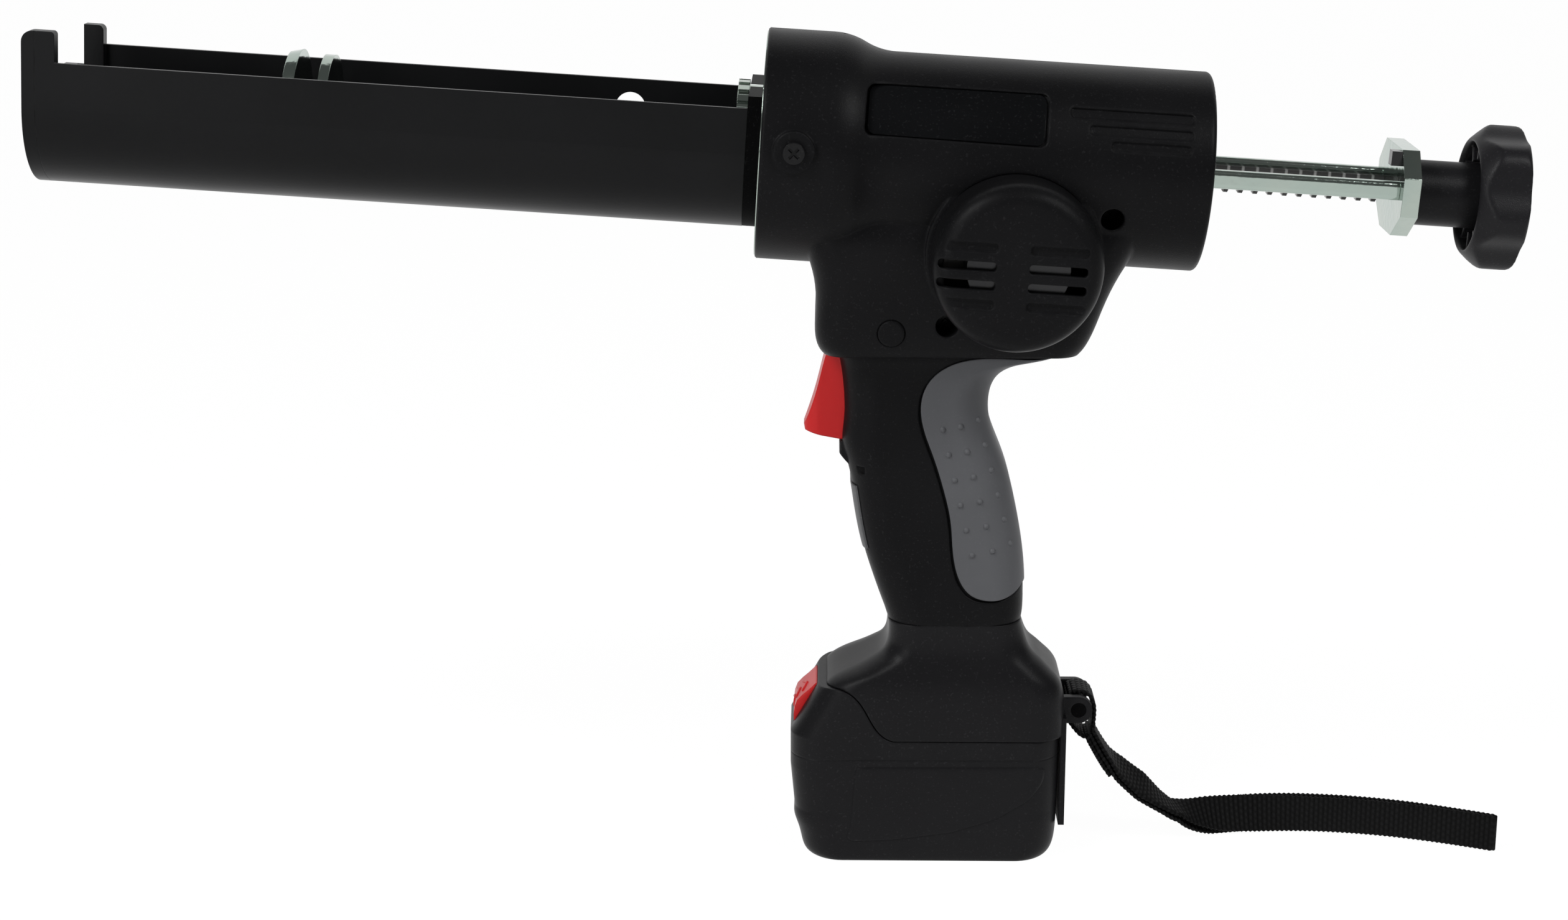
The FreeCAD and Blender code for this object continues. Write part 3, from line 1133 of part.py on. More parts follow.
node("battery_cells", group("battery_cells", cells))
straps = [block(f"strap_{side}", ("0.3", "28", "30"), (place, "-14", "6"))
          for side, place in (("front", f"{CELL_FRONT} - 0.3"),
                              ("rear", f"{CELL_FRONT} + {{cell_length}}"))]
node("cell_straps", group("cell_straps", straps))
node("battery_board", block("battery_board", ("1.6", "34", "30"),
                            (f"{CELL_FRONT} + {{cell_length}} + 0.3", "-17", "7")))
leaves = []
for side, sign in (("left", -1), ("right", 1)):
    for face in (-1, 1):
        shift = f"{sign} * {{blade_offset}} + {face} * 0.75 - {{leaf_thickness}} / 2"
        leaves.append(block(f"leaf_{side}_{face + 1}", ("12", "{leaf_thickness}", "9"),
                            (str(BLOCK_FRONT + 3.0), shift, "{battery_height} - 3.9")))
node("battery_contacts", group("battery_contacts", leaves))


# Wrist strap: a doubled band looped on the lug pin that drops to the table and lies on its edge

STRAP_ROUTE = [((53.4, 47.4), 0.0, -66.0, 0.0), ((60.6, 33.8), 0.0, -60.0, 0.0),
               ((66.6, 24.8), 0.6, -50.0, 0.02), ((74.6, 17.0), 1.6, -42.0, 0.08),
               ((82.6, 10.4), 3.4, -36.0, 0.3), ((91.0, 7.1), 6.2, -14.0, 0.75),
               ((101.0, 6.6), 8.0, 0.0, 1.0)]
TAIL_TURN_X, TAIL_END = 128.0, (194.5, -10.6)


def band_section(place, y, slope, twist):
    """A rectangle across the strap; twist 0 lays its width along Y and 1 stands it on edge."""
    x, z = place
    run = Vector(math.cos(math.radians(slope)), 0, math.sin(math.radians(slope)))
    across = Vector(0, 1, 0)
    normal = run.cross(across)
    turn = math.radians(90.0 * twist)
    wide = across * math.cos(turn) + normal * math.sin(turn)
    thin = run.cross(wide)
    half, thick = size("strap_width") / 2, size("strap_thickness") / 2
    middle = Vector(x, y, z)
    points = [middle + wide * (half * a) + thin * (thick * b) for a,
              b in ((1, 1), (-1, 1), (-1, -1), (1, -1))]
    return Part.makePolygon(points + points[:1])


def strap_shapes():
    """The twisted drop with its loop round the pin, and the stretch that lies on its edge."""
    drop = Part.makeLoft([band_section(*spot) for spot in STRAP_ROUTE], True, True)
    half, thick = size("strap_width") / 2, size("strap_thickness")
    x, z = size("lug_x"), size("lug_z")
    inner = size("lug_pin_radius") + 0.1
    loop = along_y(inner + thick / 2, x, z, -half, half).cut(along_y(inner, x, z, -half - 1, half + 1))
    hanger = drop.cut(along_y(inner + 0.01, x, z, -half - 1, half + 1)).fuse(loop).removeSplitter()
    (end_x, end_y), (_, start_y, _, _) = TAIL_END, STRAP_ROUTE[-1]
    run, drift = end_x - TAIL_TURN_X, start_y - end_y
    radius = (run * run + drift * drift) / (2 * drift)
    bottom = STRAP_ROUTE[-1][0][1] - half
    straight = Part.makeBox(TAIL_TURN_X - STRAP_ROUTE[-1][0][0], thick, 2 * half,
                            Vector(STRAP_ROUTE[-1][0][0], start_y - thick / 2, bottom))
    sweep = math.degrees(math.asin(run / radius))
    ring = Part.makeCylinder(radius + thick / 2, 2 * half, Vector(), Vector(0, 0, 1), sweep)
    ring = ring.cut(Part.makeCylinder(radius - thick / 2, 2 * half + 2, Vector(0, 0, -1), Vector(0, 0, 1),
                                      360))
    ring.rotate(Vector(), Vector(0, 0, 1), 90.0 - sweep)
    ring.translate(Vector(TAIL_TURN_X, start_y - radius, bottom))
    return hanger, straight.fuse(ring).removeSplitter()


hanger_shape, tail_shape = strap_shapes()
node("strap_hanger", solid("strap_hanger", hanger_shape))
node("strap_tail", solid("strap_tail", tail_shape))


# Check and write

doc.recompute()
for item in doc.Objects:
    if "Invalid" in item.State or "Error" in item.State:
        raise RuntimeError(f"{item.Name} failed: {item.State}")
os.makedirs("parts", exist_ok=True)
for label, item in nodes.items():
    shape = item.Shape
    if shape.isNull() or not shape.isValid() or not shape.Solids:
        raise RuntimeError(f"{label} has no valid solid")
    shape.exportStep(f"parts/{label}.step")
print(len(nodes), "nodes written")
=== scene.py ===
"""Looks of a cordless caulking tool: finishes, moulded detail, the wrist strap, the light and the camera."""
import logging
import math
from dataclasses import dataclass, field
from enum import Enum

import bpy
import numpy as np
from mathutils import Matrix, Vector
from mathutils.bvhtree import BVHTree


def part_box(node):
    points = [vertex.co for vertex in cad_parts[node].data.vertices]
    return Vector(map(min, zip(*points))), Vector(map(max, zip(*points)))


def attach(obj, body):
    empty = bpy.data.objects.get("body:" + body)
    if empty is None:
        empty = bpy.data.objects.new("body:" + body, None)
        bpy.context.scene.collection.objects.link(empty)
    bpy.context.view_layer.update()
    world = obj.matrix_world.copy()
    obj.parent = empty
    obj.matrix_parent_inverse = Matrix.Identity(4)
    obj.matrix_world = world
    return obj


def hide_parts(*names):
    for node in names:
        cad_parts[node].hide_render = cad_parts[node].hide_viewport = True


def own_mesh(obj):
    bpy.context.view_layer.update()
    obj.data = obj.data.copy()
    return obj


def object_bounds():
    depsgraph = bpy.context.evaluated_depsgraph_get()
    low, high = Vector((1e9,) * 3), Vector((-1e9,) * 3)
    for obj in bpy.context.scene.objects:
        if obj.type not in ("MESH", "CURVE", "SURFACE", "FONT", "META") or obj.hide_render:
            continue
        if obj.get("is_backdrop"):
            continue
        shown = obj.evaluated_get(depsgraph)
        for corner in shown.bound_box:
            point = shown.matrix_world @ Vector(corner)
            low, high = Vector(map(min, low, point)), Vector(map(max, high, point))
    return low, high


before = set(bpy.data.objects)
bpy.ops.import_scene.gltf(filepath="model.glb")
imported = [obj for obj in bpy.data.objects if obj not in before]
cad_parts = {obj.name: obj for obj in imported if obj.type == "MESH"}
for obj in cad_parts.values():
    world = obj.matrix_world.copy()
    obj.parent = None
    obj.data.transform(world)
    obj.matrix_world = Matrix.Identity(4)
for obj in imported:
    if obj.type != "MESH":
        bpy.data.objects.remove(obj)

logging.basicConfig(level=logging.INFO, format="%(message)s")
LOG = logging.getLogger("scene")

MM = 0.001
BARREL_ORIGIN = (-0.0533, 0.0, 0.2399)
BARREL_TILT = math.radians(3.65)
BARREL_FORWARD = (math.cos(BARREL_TILT), 0.0, -math.sin(BARREL_TILT))
LATCH_SLOPE = math.radians(30.0)
LATCH_INWARD = (math.cos(LATCH_SLOPE), 0.0, -math.sin(LATCH_SLOPE))
LATCH_UPWARD = (math.sin(LATCH_SLOPE), 0.0, math.cos(LATCH_SLOPE))
RIB_PITCH = 0.0016
BEAD_PITCH = 0.0022
RACK_PITCH = 0.0047
TOOTH_GLINT = (0.42, 0.42, 0.41, 1.0)
WEAVE_SHADE = (0.001, 0.001, 0.001, 1.0)
STREAK_ROUGHNESS = 0.16

Colour = tuple[float, float, float]
Point = tuple[float, float, float]


class Surface(Enum):
    """Kinds of surface, each with its own shader."""

    MOULDED = "moulded"
    PAINTED = "painted"
    METAL = "metal"
    TOOTHED = "toothed"
    WOVEN = "woven"


class Graph:
    """Adds nodes to one shader tree and links them."""

    def __init__(self, tree: bpy.types.NodeTree) -> None:
        """Keeps the tree that the nodes go into."""
        self.tree = tree

    def add(self, kind: str, inputs: dict | None = None, **settings: object) -> bpy.types.Node:
        """Adds one node.

        Args:
            kind: the node's type name.
            inputs: values or sockets for its inputs, by name or number.
            settings: the node's own properties.

        Returns:
            The new node.
        """
        made = self.tree.nodes.new(kind)
        for name, value in settings.items():
            setattr(made, name, value)
        for name, value in (inputs or {}).items():
            if isinstance(value, bpy.types.NodeSocket):
                self.tree.links.new(value, made.inputs[name])
            else:
                made.inputs[name].default_value = value
        return made

    def maths(self, operation: str, first: object, second: object = 0.0) -> bpy.types.NodeSocket:
        """The result of one operation on two values."""
        return self.add("ShaderNodeMath", {0: first, 1: second}, operation=operation).outputs[0]

    def spread(self, value: object, low: float, high: float, to_low: float = 0.0,
               to_high: float = 1.0) -> bpy.types.NodeSocket:
        """A value stretched from one range to another and held inside it.

        Args:
            value: the socket that is stretched.
            low: the value that becomes to_low.
            high: the value that becomes to_high.
            to_low: the result's start.
            to_high: the result's end.

        Returns:
            The stretched value's socket.
        """
        sockets = {"Value": value, "From Min": low, "From Max": high, "To Min": to_low, "To Max": to_high}
        return self.add("ShaderNodeMapRange", sockets).outputs[0]

    def blend(self, factor: object, first: object, second: object) -> bpy.types.NodeSocket:
        """A colour between two colours."""
        return self.add("ShaderNodeMix", {0: factor, 6: first, 7: second}, data_type="RGBA").outputs[2]

    def noise(self, vector: object, scale: object, detail: float = 2.0) -> bpy.types.NodeSocket:
        """Noise of that many cells per metre."""
        sockets = {"Vector": vector, "Scale": scale, "Detail": detail}
        return self.add("ShaderNodeTexNoise", sockets).outputs[0]

    def stretched(self, vector: object, scale: tuple[float, float, float],
                  turn: tuple[float, float, float] = (0.0, 0.0, 0.0)) -> bpy.types.NodeSocket:
        """Coordinates turned and scaled apart, for streaks."""
        return self.add("ShaderNodeMapping", {"Vector": vector, "Scale": scale, "Rotation": turn}).outputs[0]


def new_group(name: str, inputs: dict[str, str],
              outputs: dict[str, str]) -> tuple[bpy.types.NodeTree, Graph]:
    """Makes an empty shader node group.

    Args:
        name: the group's name.
        inputs: socket types by name.
        outputs: socket types by name.

    Returns:
        The group and a graph that adds to it.
    """
    tree = bpy.data.node_groups.new(name, "ShaderNodeTree")
    for title, kind in inputs.items():
        tree.interface.new_socket(title, in_out="INPUT", socket_type=kind)
    for title, kind in outputs.items():
        tree.interface.new_socket(title, in_out="OUTPUT", socket_type=kind)
    return tree, Graph(tree)


def grain_group() -> bpy.types.NodeTree:
    """Spark-eroded grain of a moulded surface: a fine height, slow clouds and small specks, the specks
    painted as glints of the grain.

    Returns:
        The node group.
    """
    tree, graph = new_group(
        "moulded_grain",
        {"Vector": "NodeSocketVector", "Scale": "NodeSocketFloat"},
        {"Height": "NodeSocketFloat", "Cloud": "NodeSocketFloat", "Speck": "NodeSocketFloat"},
    )
    source = graph.add("NodeGroupInput")
    fine = graph.noise(source.outputs["Vector"], source.outputs["Scale"], 1.0)
    cells = graph.add("ShaderNodeTexVoronoi",
                      {"Vector": source.outputs["Vector"], "Scale": source.outputs["Scale"]})
    height = graph.maths("MULTIPLY_ADD", cells.outputs["Distance"], 0.6)
    graph.tree.links.new(fine, height.node.inputs[2])
    cloud = graph.spread(graph.noise(source.outputs["Vector"], 26.0, 4.0), 0.36, 0.66)
    speck = graph.spread(graph.noise(source.outputs["Vector"], 1250.0, 1.0), 0.62, 0.76)
    graph.add("NodeGroupOutput", {"Height": height, "Cloud": cloud, "Speck": speck})
    return tree


def streak_group() -> bpy.types.NodeTree:
    """Handling streaks: two crossed sets of thin stretched noise, kept only where a slow noise is high.

    Returns:
        The node group.
    """
    tree, graph = new_group(
        "handling_streaks",
        {"Vector": "NodeSocketVector"},
        {"Streaks": "NodeSocketFloat", "Smudge": "NodeSocketFloat"},
    )
    vector = graph.add("NodeGroupInput").outputs["Vector"]
    along = graph.noise(graph.stretched(vector, (60.0, 900.0, 1900.0), (0.0, 0.3, 0.2)), 1.0, 2.0)
    across = graph.noise(graph.stretched(vector, (1700.0, 800.0, 50.0), (0.1, -0.6, 0.0)), 1.0, 2.0)
    thin = graph.spread(graph.maths("MAXIMUM", along, across), 0.70, 0.78)
    where = graph.spread(graph.noise(vector, 34.0, 2.0), 0.5, 0.66)
    smudge = graph.spread(graph.noise(vector, 15.0, 5.0), 0.45, 0.7)
    graph.add("NodeGroupOutput", {"Streaks": graph.maths("MULTIPLY", thin, where), "Smudge": smudge})
    return tree


def edge_highlight_group() -> bpy.types.NodeTree:
    """Painted edge highlight: high where the rounded normal turns away from the true one, broken up by
    noise.

    Returns:
        The node group.
    """
    tree, graph = new_group(
        "painted_edge_highlight",
        {"Vector": "NodeSocketVector", "Rounded": "NodeSocketVector"},
        {"Edge": "NodeSocketFloat"},
    )
    source = graph.add("NodeGroupInput")
    true_normal = graph.add("ShaderNodeNewGeometry").outputs["Normal"]
    agree = graph.add("ShaderNodeVectorMath", {0: source.outputs["Rounded"], 1: true_normal},
                      operation="DOT_PRODUCT")
    turned = graph.spread(agree.outputs["Value"], 0.985, 0.8)
    broken = graph.spread(graph.noise(source.outputs["Vector"], 240.0, 3.0), 0.35, 0.6)
    graph.add("NodeGroupOutput", {"Edge": graph.maths("MULTIPLY", turned, broken)})
    return tree


def weave_group() -> bpy.types.NodeTree:
    """Plain weave of a band: ribs across it, parted into beads that change place at each rib, with painted
    shade in the hollows.

    Returns:
        The node group.
    """
    tree, graph = new_group(
        "webbing_weave",
        {"Vector": "NodeSocketVector"},
        {"Height": "NodeSocketFloat", "Shade": "NodeSocketFloat"},
    )
    parts = graph.add("ShaderNodeSeparateXYZ", {0: graph.add("NodeGroupInput").outputs["Vector"]})
    rib = graph.maths("MULTIPLY", parts.outputs["X"], math.tau / RIB_PITCH)
    bead = graph.maths("MULTIPLY", parts.outputs["Y"], math.tau / BEAD_PITCH)
    turn = graph.maths("MULTIPLY", graph.maths("FLOOR", graph.maths("DIVIDE", rib, math.tau)), math.pi)
    wave = graph.maths("SINE", graph.maths("ADD", bead, turn))
    round_rib = graph.maths("ABSOLUTE", graph.maths("SINE", graph.maths("MULTIPLY", rib, 0.5)))
    height = graph.maths("MULTIPLY", round_rib, graph.spread(wave, -1.0, 1.0, 0.4, 1.0))
    graph.add("NodeGroupOutput", {"Height": height, "Shade": graph.spread(height, 0.0, 1.0)})
    return tree


def tooth_group() -> bpy.types.NodeTree:
    """Painted tooth glints: a thin bright line each pitch along the barrel's direction, a painted highlight
    on each tooth's edge.

    Returns:
        The node group.
    """
    tree, graph = new_group(
        "painted_tooth_glints",
        {"Vector": "NodeSocketVector", "Pitch": "NodeSocketFloat"},
        {"Line": "NodeSocketFloat"},
    )
    source = graph.add("NodeGroupInput")
    along = graph.add("ShaderNodeVectorMath", {0: source.outputs["Vector"], 1: BARREL_FORWARD},
                      operation="DOT_PRODUCT").outputs["Value"]
    place = graph.maths("FRACT", graph.maths("DIVIDE", along, source.outputs["Pitch"]))
    off = graph.maths("ABSOLUTE", graph.maths("SUBTRACT", place, 0.5))
    graph.add("NodeGroupOutput", {"Line": graph.spread(off, 0.13, 0.05)})
    return tree


GROUP_MAKERS = (grain_group, streak_group, edge_highlight_group, weave_group, tooth_group)
GROUPS = {made.name: made for made in (make() for make in GROUP_MAKERS)}


@dataclass(frozen=True)
class Finish:
    """One finish: its colours, gloss and grain."""

    name: str
    colour: Colour
    cloud: Colour
    rough: tuple[float, float]
    kind: Surface = Surface.MOULDED
    metallic: float = 0.0
    grain: float = 2600.0
    depth: float = 0.00003
    rounding: float = 0.0007
    # colour of the painted highlight along rounded edges
    edge: Colour | None = None
    shine: float = 0.32
    # share of pale specks painted as glints of the grain
    speck: float = 0.6

    def material(self) -> bpy.types.Material:
        """Makes the finish's material, once.

        Returns:
            The material.
        """
        title = f"{self.name}_finish"
        known = bpy.data.materials.get(title)
        if known:
            return known
        made = bpy.data.materials.new(title)
        made.use_nodes = True
        made.node_tree.nodes.clear()
        self._fill(Graph(made.node_tree))
        return made

    def _fill(self, graph: Graph) -> None:
        """Builds the nodes: grain and clouds from object coordinates into one Principled shader.

        Args:
            graph: the graph of the material's own tree.
        """
        places = graph.add("ShaderNodeTexCoord")
        here = places.outputs["Object"]
        grain = self._group(graph, "moulded_grain", {"Vector": here, "Scale": self.grain})
        marks = self._group(graph, "handling_streaks", {"Vector": here})
        rounded = graph.add("ShaderNodeBevel", {"Radius": self.rounding}, samples=6).outputs["Normal"]
        colour = graph.blend(grain.outputs["Cloud"], (*self.colour, 1.0), (*self.cloud, 1.0))
        rough = graph.spread(marks.outputs["Smudge"], 0.0, 1.0, *self.rough)
        height = grain.outputs["Height"]
        if self.kind is Surface.METAL or self.kind is Surface.TOOTHED:
            streaks = graph.maths("MULTIPLY", marks.outputs["Streaks"], STREAK_ROUGHNESS)
            rough = graph.maths("ADD", rough, streaks)
        if self.kind is Surface.TOOTHED:
            teeth = self._group(graph, "painted_tooth_glints", {"Vector": here, "Pitch": RACK_PITCH})
            # Each tooth's edge gets a painted glint.
            colour = graph.blend(graph.maths("MULTIPLY", teeth.outputs["Line"], 0.8), colour, TOOTH_GLINT)
        if self.kind is Surface.WOVEN:
            weave = self._group(graph, "webbing_weave", {"Vector": places.outputs["UV"]})
            # Painted shade: the weave's hollows are darkened towards WEAVE_SHADE.
            colour = graph.blend(weave.outputs["Shade"], WEAVE_SHADE, colour)
            height = weave.outputs["Height"]
        if self.kind is Surface.MOULDED:
            # Small pale specks: painted glints of the grain.
            glint_colour = [min(1.0, part * 1.8 + 0.01) for part in self.colour]
            specks = graph.maths("MULTIPLY", grain.outputs["Speck"], self.speck)
            colour = graph.blend(specks, colour, (*glint_colour, 1.0))
        # Rounded edges are painted lighter: a painted highlight along them.
        if self.edge:
            edge = self._group(graph, "painted_edge_highlight", {"Vector": here, "Rounded": rounded})
            edge_highlight_share = graph.maths("MULTIPLY", edge.outputs["Edge"], 0.6)
            colour = graph.blend(edge_highlight_share, colour, (*self.edge, 1.0))
        bump = graph.add("ShaderNodeBump", {"Height": height, "Normal": rounded, "Distance": self.depth,
                                            "Strength": 1.0})
        shader = graph.add("ShaderNodeBsdfPrincipled", {
            "Base Color": colour, "Roughness": rough, "Metallic": self.metallic, "Normal": bump.outputs[0],
            "Specular IOR Level": self.shine,
        })
        graph.add("ShaderNodeOutputMaterial", {"Surface": shader.outputs[0]})

    @staticmethod
    def _group(graph: Graph, name: str, inputs: dict) -> bpy.types.Node:
        """Adds one of the shared groups to the material."""
        return graph.add("ShaderNodeGroup", inputs, node_tree=GROUPS[name])


BLACK_SCREW = Finish("black_screw", (0.007, 0.007, 0.0075), (0.01, 0.01, 0.0105), (0.14, 0.24),
                     grain=1800.0, depth=0.000004, rounding=0.0003, shine=0.14)
BLACK_NYLON = Finish("black_nylon", (0.0060, 0.0060, 0.0066), (0.0078, 0.0078, 0.0085), (0.36, 0.46),
                     edge=(0.018, 0.018, 0.019), rounding=0.0012, shine=0.075)
PACK_NYLON = Finish("pack_nylon", (0.0100, 0.0099, 0.0109), (0.0118, 0.0117, 0.0128), (0.36, 0.46),
                    edge=(0.02, 0.02, 0.021), rounding=0.0010, shine=0.1)
KNOB_NYLON = Finish("knob_nylon", (0.0136, 0.0132, 0.0148), (0.0160, 0.0156, 0.0172), (0.36, 0.46),
                    edge=(0.026, 0.026, 0.027), rounding=0.0008, shine=0.12)
GREY_GRIP = Finish("grey_grip", (0.104, 0.106, 0.113), (0.117, 0.119, 0.127), (0.46, 0.58), grain=3200.0,
                   depth=0.000016, rounding=0.0006, shine=0.25, speck=0.1)
INSERT_GREY = Finish("insert_grey", (0.105, 0.107, 0.110), (0.120, 0.122, 0.126), (0.4, 0.5), grain=3000.0,
                     shine=0.16)
# Near-black dull finish: the rear plate's own black, and painted shade in the plug's gap and the lug pin's
# hollow.
BLACK_AND_PAINTED_SHADE = Finish("black_and_painted_shade", (0.0016, 0.0016, 0.0018), (0.0022, 0.0022, 0.0024), (0.5, 0.6),
                     rounding=0.0002, shine=0.03)
RED_PLASTIC = Finish("red_plastic", (0.62, 0.0115, 0.0125), (0.67, 0.0145, 0.0150), (0.34, 0.44),
                     grain=2800.0, depth=0.000012, rounding=0.0010, shine=0.3, speck=0.08)
LABEL_FILM = Finish("label_film", (0.0042, 0.0045, 0.005), (0.0055, 0.0058, 0.0064), (0.2, 0.3),
                    grain=5200.0, depth=0.000004, rounding=0.0003, shine=0.07)
BLACK_STEEL = Finish("black_steel", (0.0062, 0.0064, 0.0068), (0.0078, 0.0080, 0.0086), (0.3, 0.4),
                     kind=Surface.PAINTED, grain=900.0, depth=0.00001, rounding=0.0004,
                     edge=(0.035, 0.035, 0.035), shine=0.11)
ZINC_STEEL = Finish("zinc_steel", (0.355, 0.430, 0.392), (0.43, 0.48, 0.43), (0.10, 0.22),
                    kind=Surface.METAL, metallic=1.0, grain=430.0, depth=0.00005, rounding=0.0004)
DARK_STEEL = Finish("dark_steel", (0.06, 0.06, 0.06), (0.09, 0.088, 0.085), (0.34, 0.46),
                    kind=Surface.TOOTHED, metallic=1.0, grain=1800.0, depth=0.000008, rounding=0.0003)
GEAR_STEEL = Finish("gear_steel", (0.26, 0.26, 0.26), (0.32, 0.31, 0.30), (0.28, 0.4), kind=Surface.METAL,
                    metallic=1.0, grain=1800.0, depth=0.000006, rounding=0.0003)
# Dark steel: the limit nut's own colour, and painted shade on the motor can behind the vent slots.
BLACKENED_STEEL_AND_SHADE = Finish("blackened_steel_and_shade", (0.03, 0.03, 0.031), (0.04, 0.04, 0.041), (0.2, 0.3),
                       kind=Surface.METAL, metallic=0.8, grain=1800.0, depth=0.000006, rounding=0.0003)
BRONZE = Finish("bronze", (0.42, 0.27, 0.12), (0.48, 0.32, 0.16), (0.34, 0.45), kind=Surface.METAL,
                metallic=1.0, grain=2200.0, depth=0.000008)
COPPER = Finish("copper_alloy", (0.60, 0.36, 0.20), (0.66, 0.42, 0.26), (0.25, 0.36), kind=Surface.METAL,
                metallic=1.0, grain=2200.0, depth=0.000005, rounding=0.0002)
CELL_WRAP = Finish("cell_wrap", (0.05, 0.16, 0.20), (0.06, 0.19, 0.23), (0.28, 0.36), depth=0.000006)
BOARD = Finish("board", (0.012, 0.075, 0.030), (0.016, 0.095, 0.040), (0.34, 0.44), depth=0.000006)
WEBBING = Finish("webbing", (0.0098, 0.0098, 0.0101), (0.0132, 0.0132, 0.0136), (0.6, 0.75),
                 kind=Surface.WOVEN, depth=0.0003, rounding=0.0003, shine=0.1)


def tube_faces(rows: int, columns: int) -> tuple[np.ndarray, np.ndarray]:
    """Faces of a closed tube of rings with a fan at each end.

    Args:
        rows: number of rings.
        columns: points in a ring.

    Returns:
        The quads, and the end triangles, whose middles are the two points after the rings.
    """
    row, column = np.meshgrid(np.arange(rows - 1), np.arange(columns), indexing="ij")
    after = (column + 1) % columns
    quads = np.stack([row * columns + column, row * columns + after,
                      (row + 1) * columns + after, (row + 1) * columns + column], axis=-1).reshape(-1, 4)
    ring = np.arange(columns)
    following = (ring + 1) % columns
    last = (rows - 1) * columns
    start = np.stack([np.full(columns, rows * columns), following, ring], axis=-1)
    end = np.stack([np.full(columns, rows * columns + 1), last + ring, last + following], axis=-1)
    return quads, np.concatenate([start, end])


def unit(rows: np.ndarray) -> np.ndarray:
    """Directions of length one, by row."""
    return rows / np.linalg.norm(rows, axis=1)[:, None]


def headings(line: np.ndarray) -> np.ndarray:
    """The direction in which a line runs at each of its points."""
    return unit(np.gradient(line, axis=0))


def distances(line: np.ndarray) -> np.ndarray:
    """How far along a line each of its points lies, from 0 at the first."""
    return np.concatenate([[0.0], np.cumsum(np.linalg.norm(np.diff(line, axis=0), axis=1))])


def wire_rings(line: np.ndarray, first: np.ndarray, second: np.ndarray, radius: np.ndarray | float,
               count: int) -> np.ndarray:
    """Rings of a round wire: cosines of an angle along one direction and sines along another.

    Args:
        line: the wire's middle points.
        first: a direction across the wire at each point.
        second: the direction across both.
        radius: the wire's radius, one value or one for each point in a column.
        count: points in a ring.

    Returns:
        The points, by ring and place in the ring.
    """
    turn = np.linspace(0.0, math.tau, count, endpoint=False)[None, :, None]
    circle = np.cos(turn) * first[:, None] + np.sin(turn) * second[:, None]
    return line[:, None] + radius * circle


@dataclass
class Body:
    """A mesh that is gathered from closed tubes."""

    points: list[np.ndarray] = field(default_factory=list)
    faces: list[list[int]] = field(default_factory=list)
    coordinates: list[np.ndarray] = field(default_factory=list)
    count: int = 0

    def tube(self, rings: np.ndarray, spread: np.ndarray | None = None) -> None:
        """Adds a closed tube: a surface through rings of points, with a fan to each end ring's mean.

        Args:
            rings: points by ring and place in the ring, the rings turning right-handed along the tube.
            spread: texture coordinates of the same points, in metres.
        """
        rows, columns, _ = rings.shape
        flat = rings.reshape(-1, 3)
        ends = np.stack([rings[0].mean(axis=0), rings[-1].mean(axis=0)])
        quads, fans = tube_faces(rows, columns)
        self.points.append(np.concatenate([flat, ends]))
        self.faces += (quads + self.count).tolist()
        self.faces += (fans + self.count).tolist()
        flat_spread = np.zeros((rows * columns, 2)) if spread is None else spread.reshape(-1, 2)
        self.coordinates.append(np.concatenate([flat_spread, flat_spread[[0, -1]]]))
        self.count += rows * columns + 2

    def hoop(self, rings: np.ndarray) -> None:
        """Adds a closed hoop: a tube whose last ring joins its first.

        Args:
            rings: points by ring and place in the ring.
        """
        rows, columns, _ = rings.shape
        row, column = np.meshgrid(np.arange(rows), np.arange(columns), indexing="ij")
        after, beyond = (column + 1) % columns, (row + 1) % rows
        quads = np.stack([row * columns + column, row * columns + after,
                          beyond * columns + after, beyond * columns + column], axis=-1).reshape(-1, 4)
        self.points.append(rings.reshape(-1, 3))
        self.faces += (quads + self.count).tolist()
        self.coordinates.append(np.zeros((rows * columns, 2)))
        self.count += rows * columns

    def build(self, name: str, finish: Finish, sharp: float = 40.0) -> bpy.types.Object:
        """Makes the object.

        Args:
            name: the piece's name.
            finish: its finish.
            sharp: edges that turn more than this many degrees stay sharp.

        Returns:
            The object, linked to the scene.
        """
        mesh = bpy.data.meshes.new(name)
        mesh.from_pydata(np.concatenate(self.points).tolist(), [], self.faces)
        corners = np.empty(len(mesh.loops), dtype=np.int32)
        mesh.loops.foreach_get("vertex_index", corners)
        layer = mesh.uv_layers.new(name="spread")
        layer.data.foreach_set("uv", np.concatenate(self.coordinates)[corners].ravel().astype(np.float32))
        mesh.shade_smooth()
        mesh.set_sharp_from_angle(angle=math.radians(sharp))
        mesh.materials.append(finish.material())
        mesh.validate()
        mesh.update()
        made = bpy.data.objects.new(name, mesh)
        bpy.context.scene.collection.objects.link(made)
        LOG.info("piece %s: %d faces", name, len(mesh.polygons))
        return made


def paint(finish: Finish, *names: str) -> None:
    """Gives CAD nodes a finish in place of their own.

    Args:
        finish: the finish.
        names: the nodes.
    """
    for name in names:
        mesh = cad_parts[name].data
        mesh.materials.clear()
        mesh.materials.append(finish.material())
        LOG.info("node %s: %s", name, finish.name)


def barrel_points(along: np.ndarray, side: np.ndarray, up: np.ndarray) -> np.ndarray:
    """Points of the row frame: places about the barrel's axis, turned by its tilt and moved to its start.

    Args:
        along: metres along the axis.
        side: metres across it.
        up: metres above it.

    Returns:
        The points, with X, Y and Z last.
    """
    cos, sin = math.cos(BARREL_TILT), math.sin(BARREL_TILT)
    x = BARREL_ORIGIN[0] + along * cos + up * sin
    z = BARREL_ORIGIN[2] - along * sin + up * cos
    return np.stack([x, side, z], axis=-1)


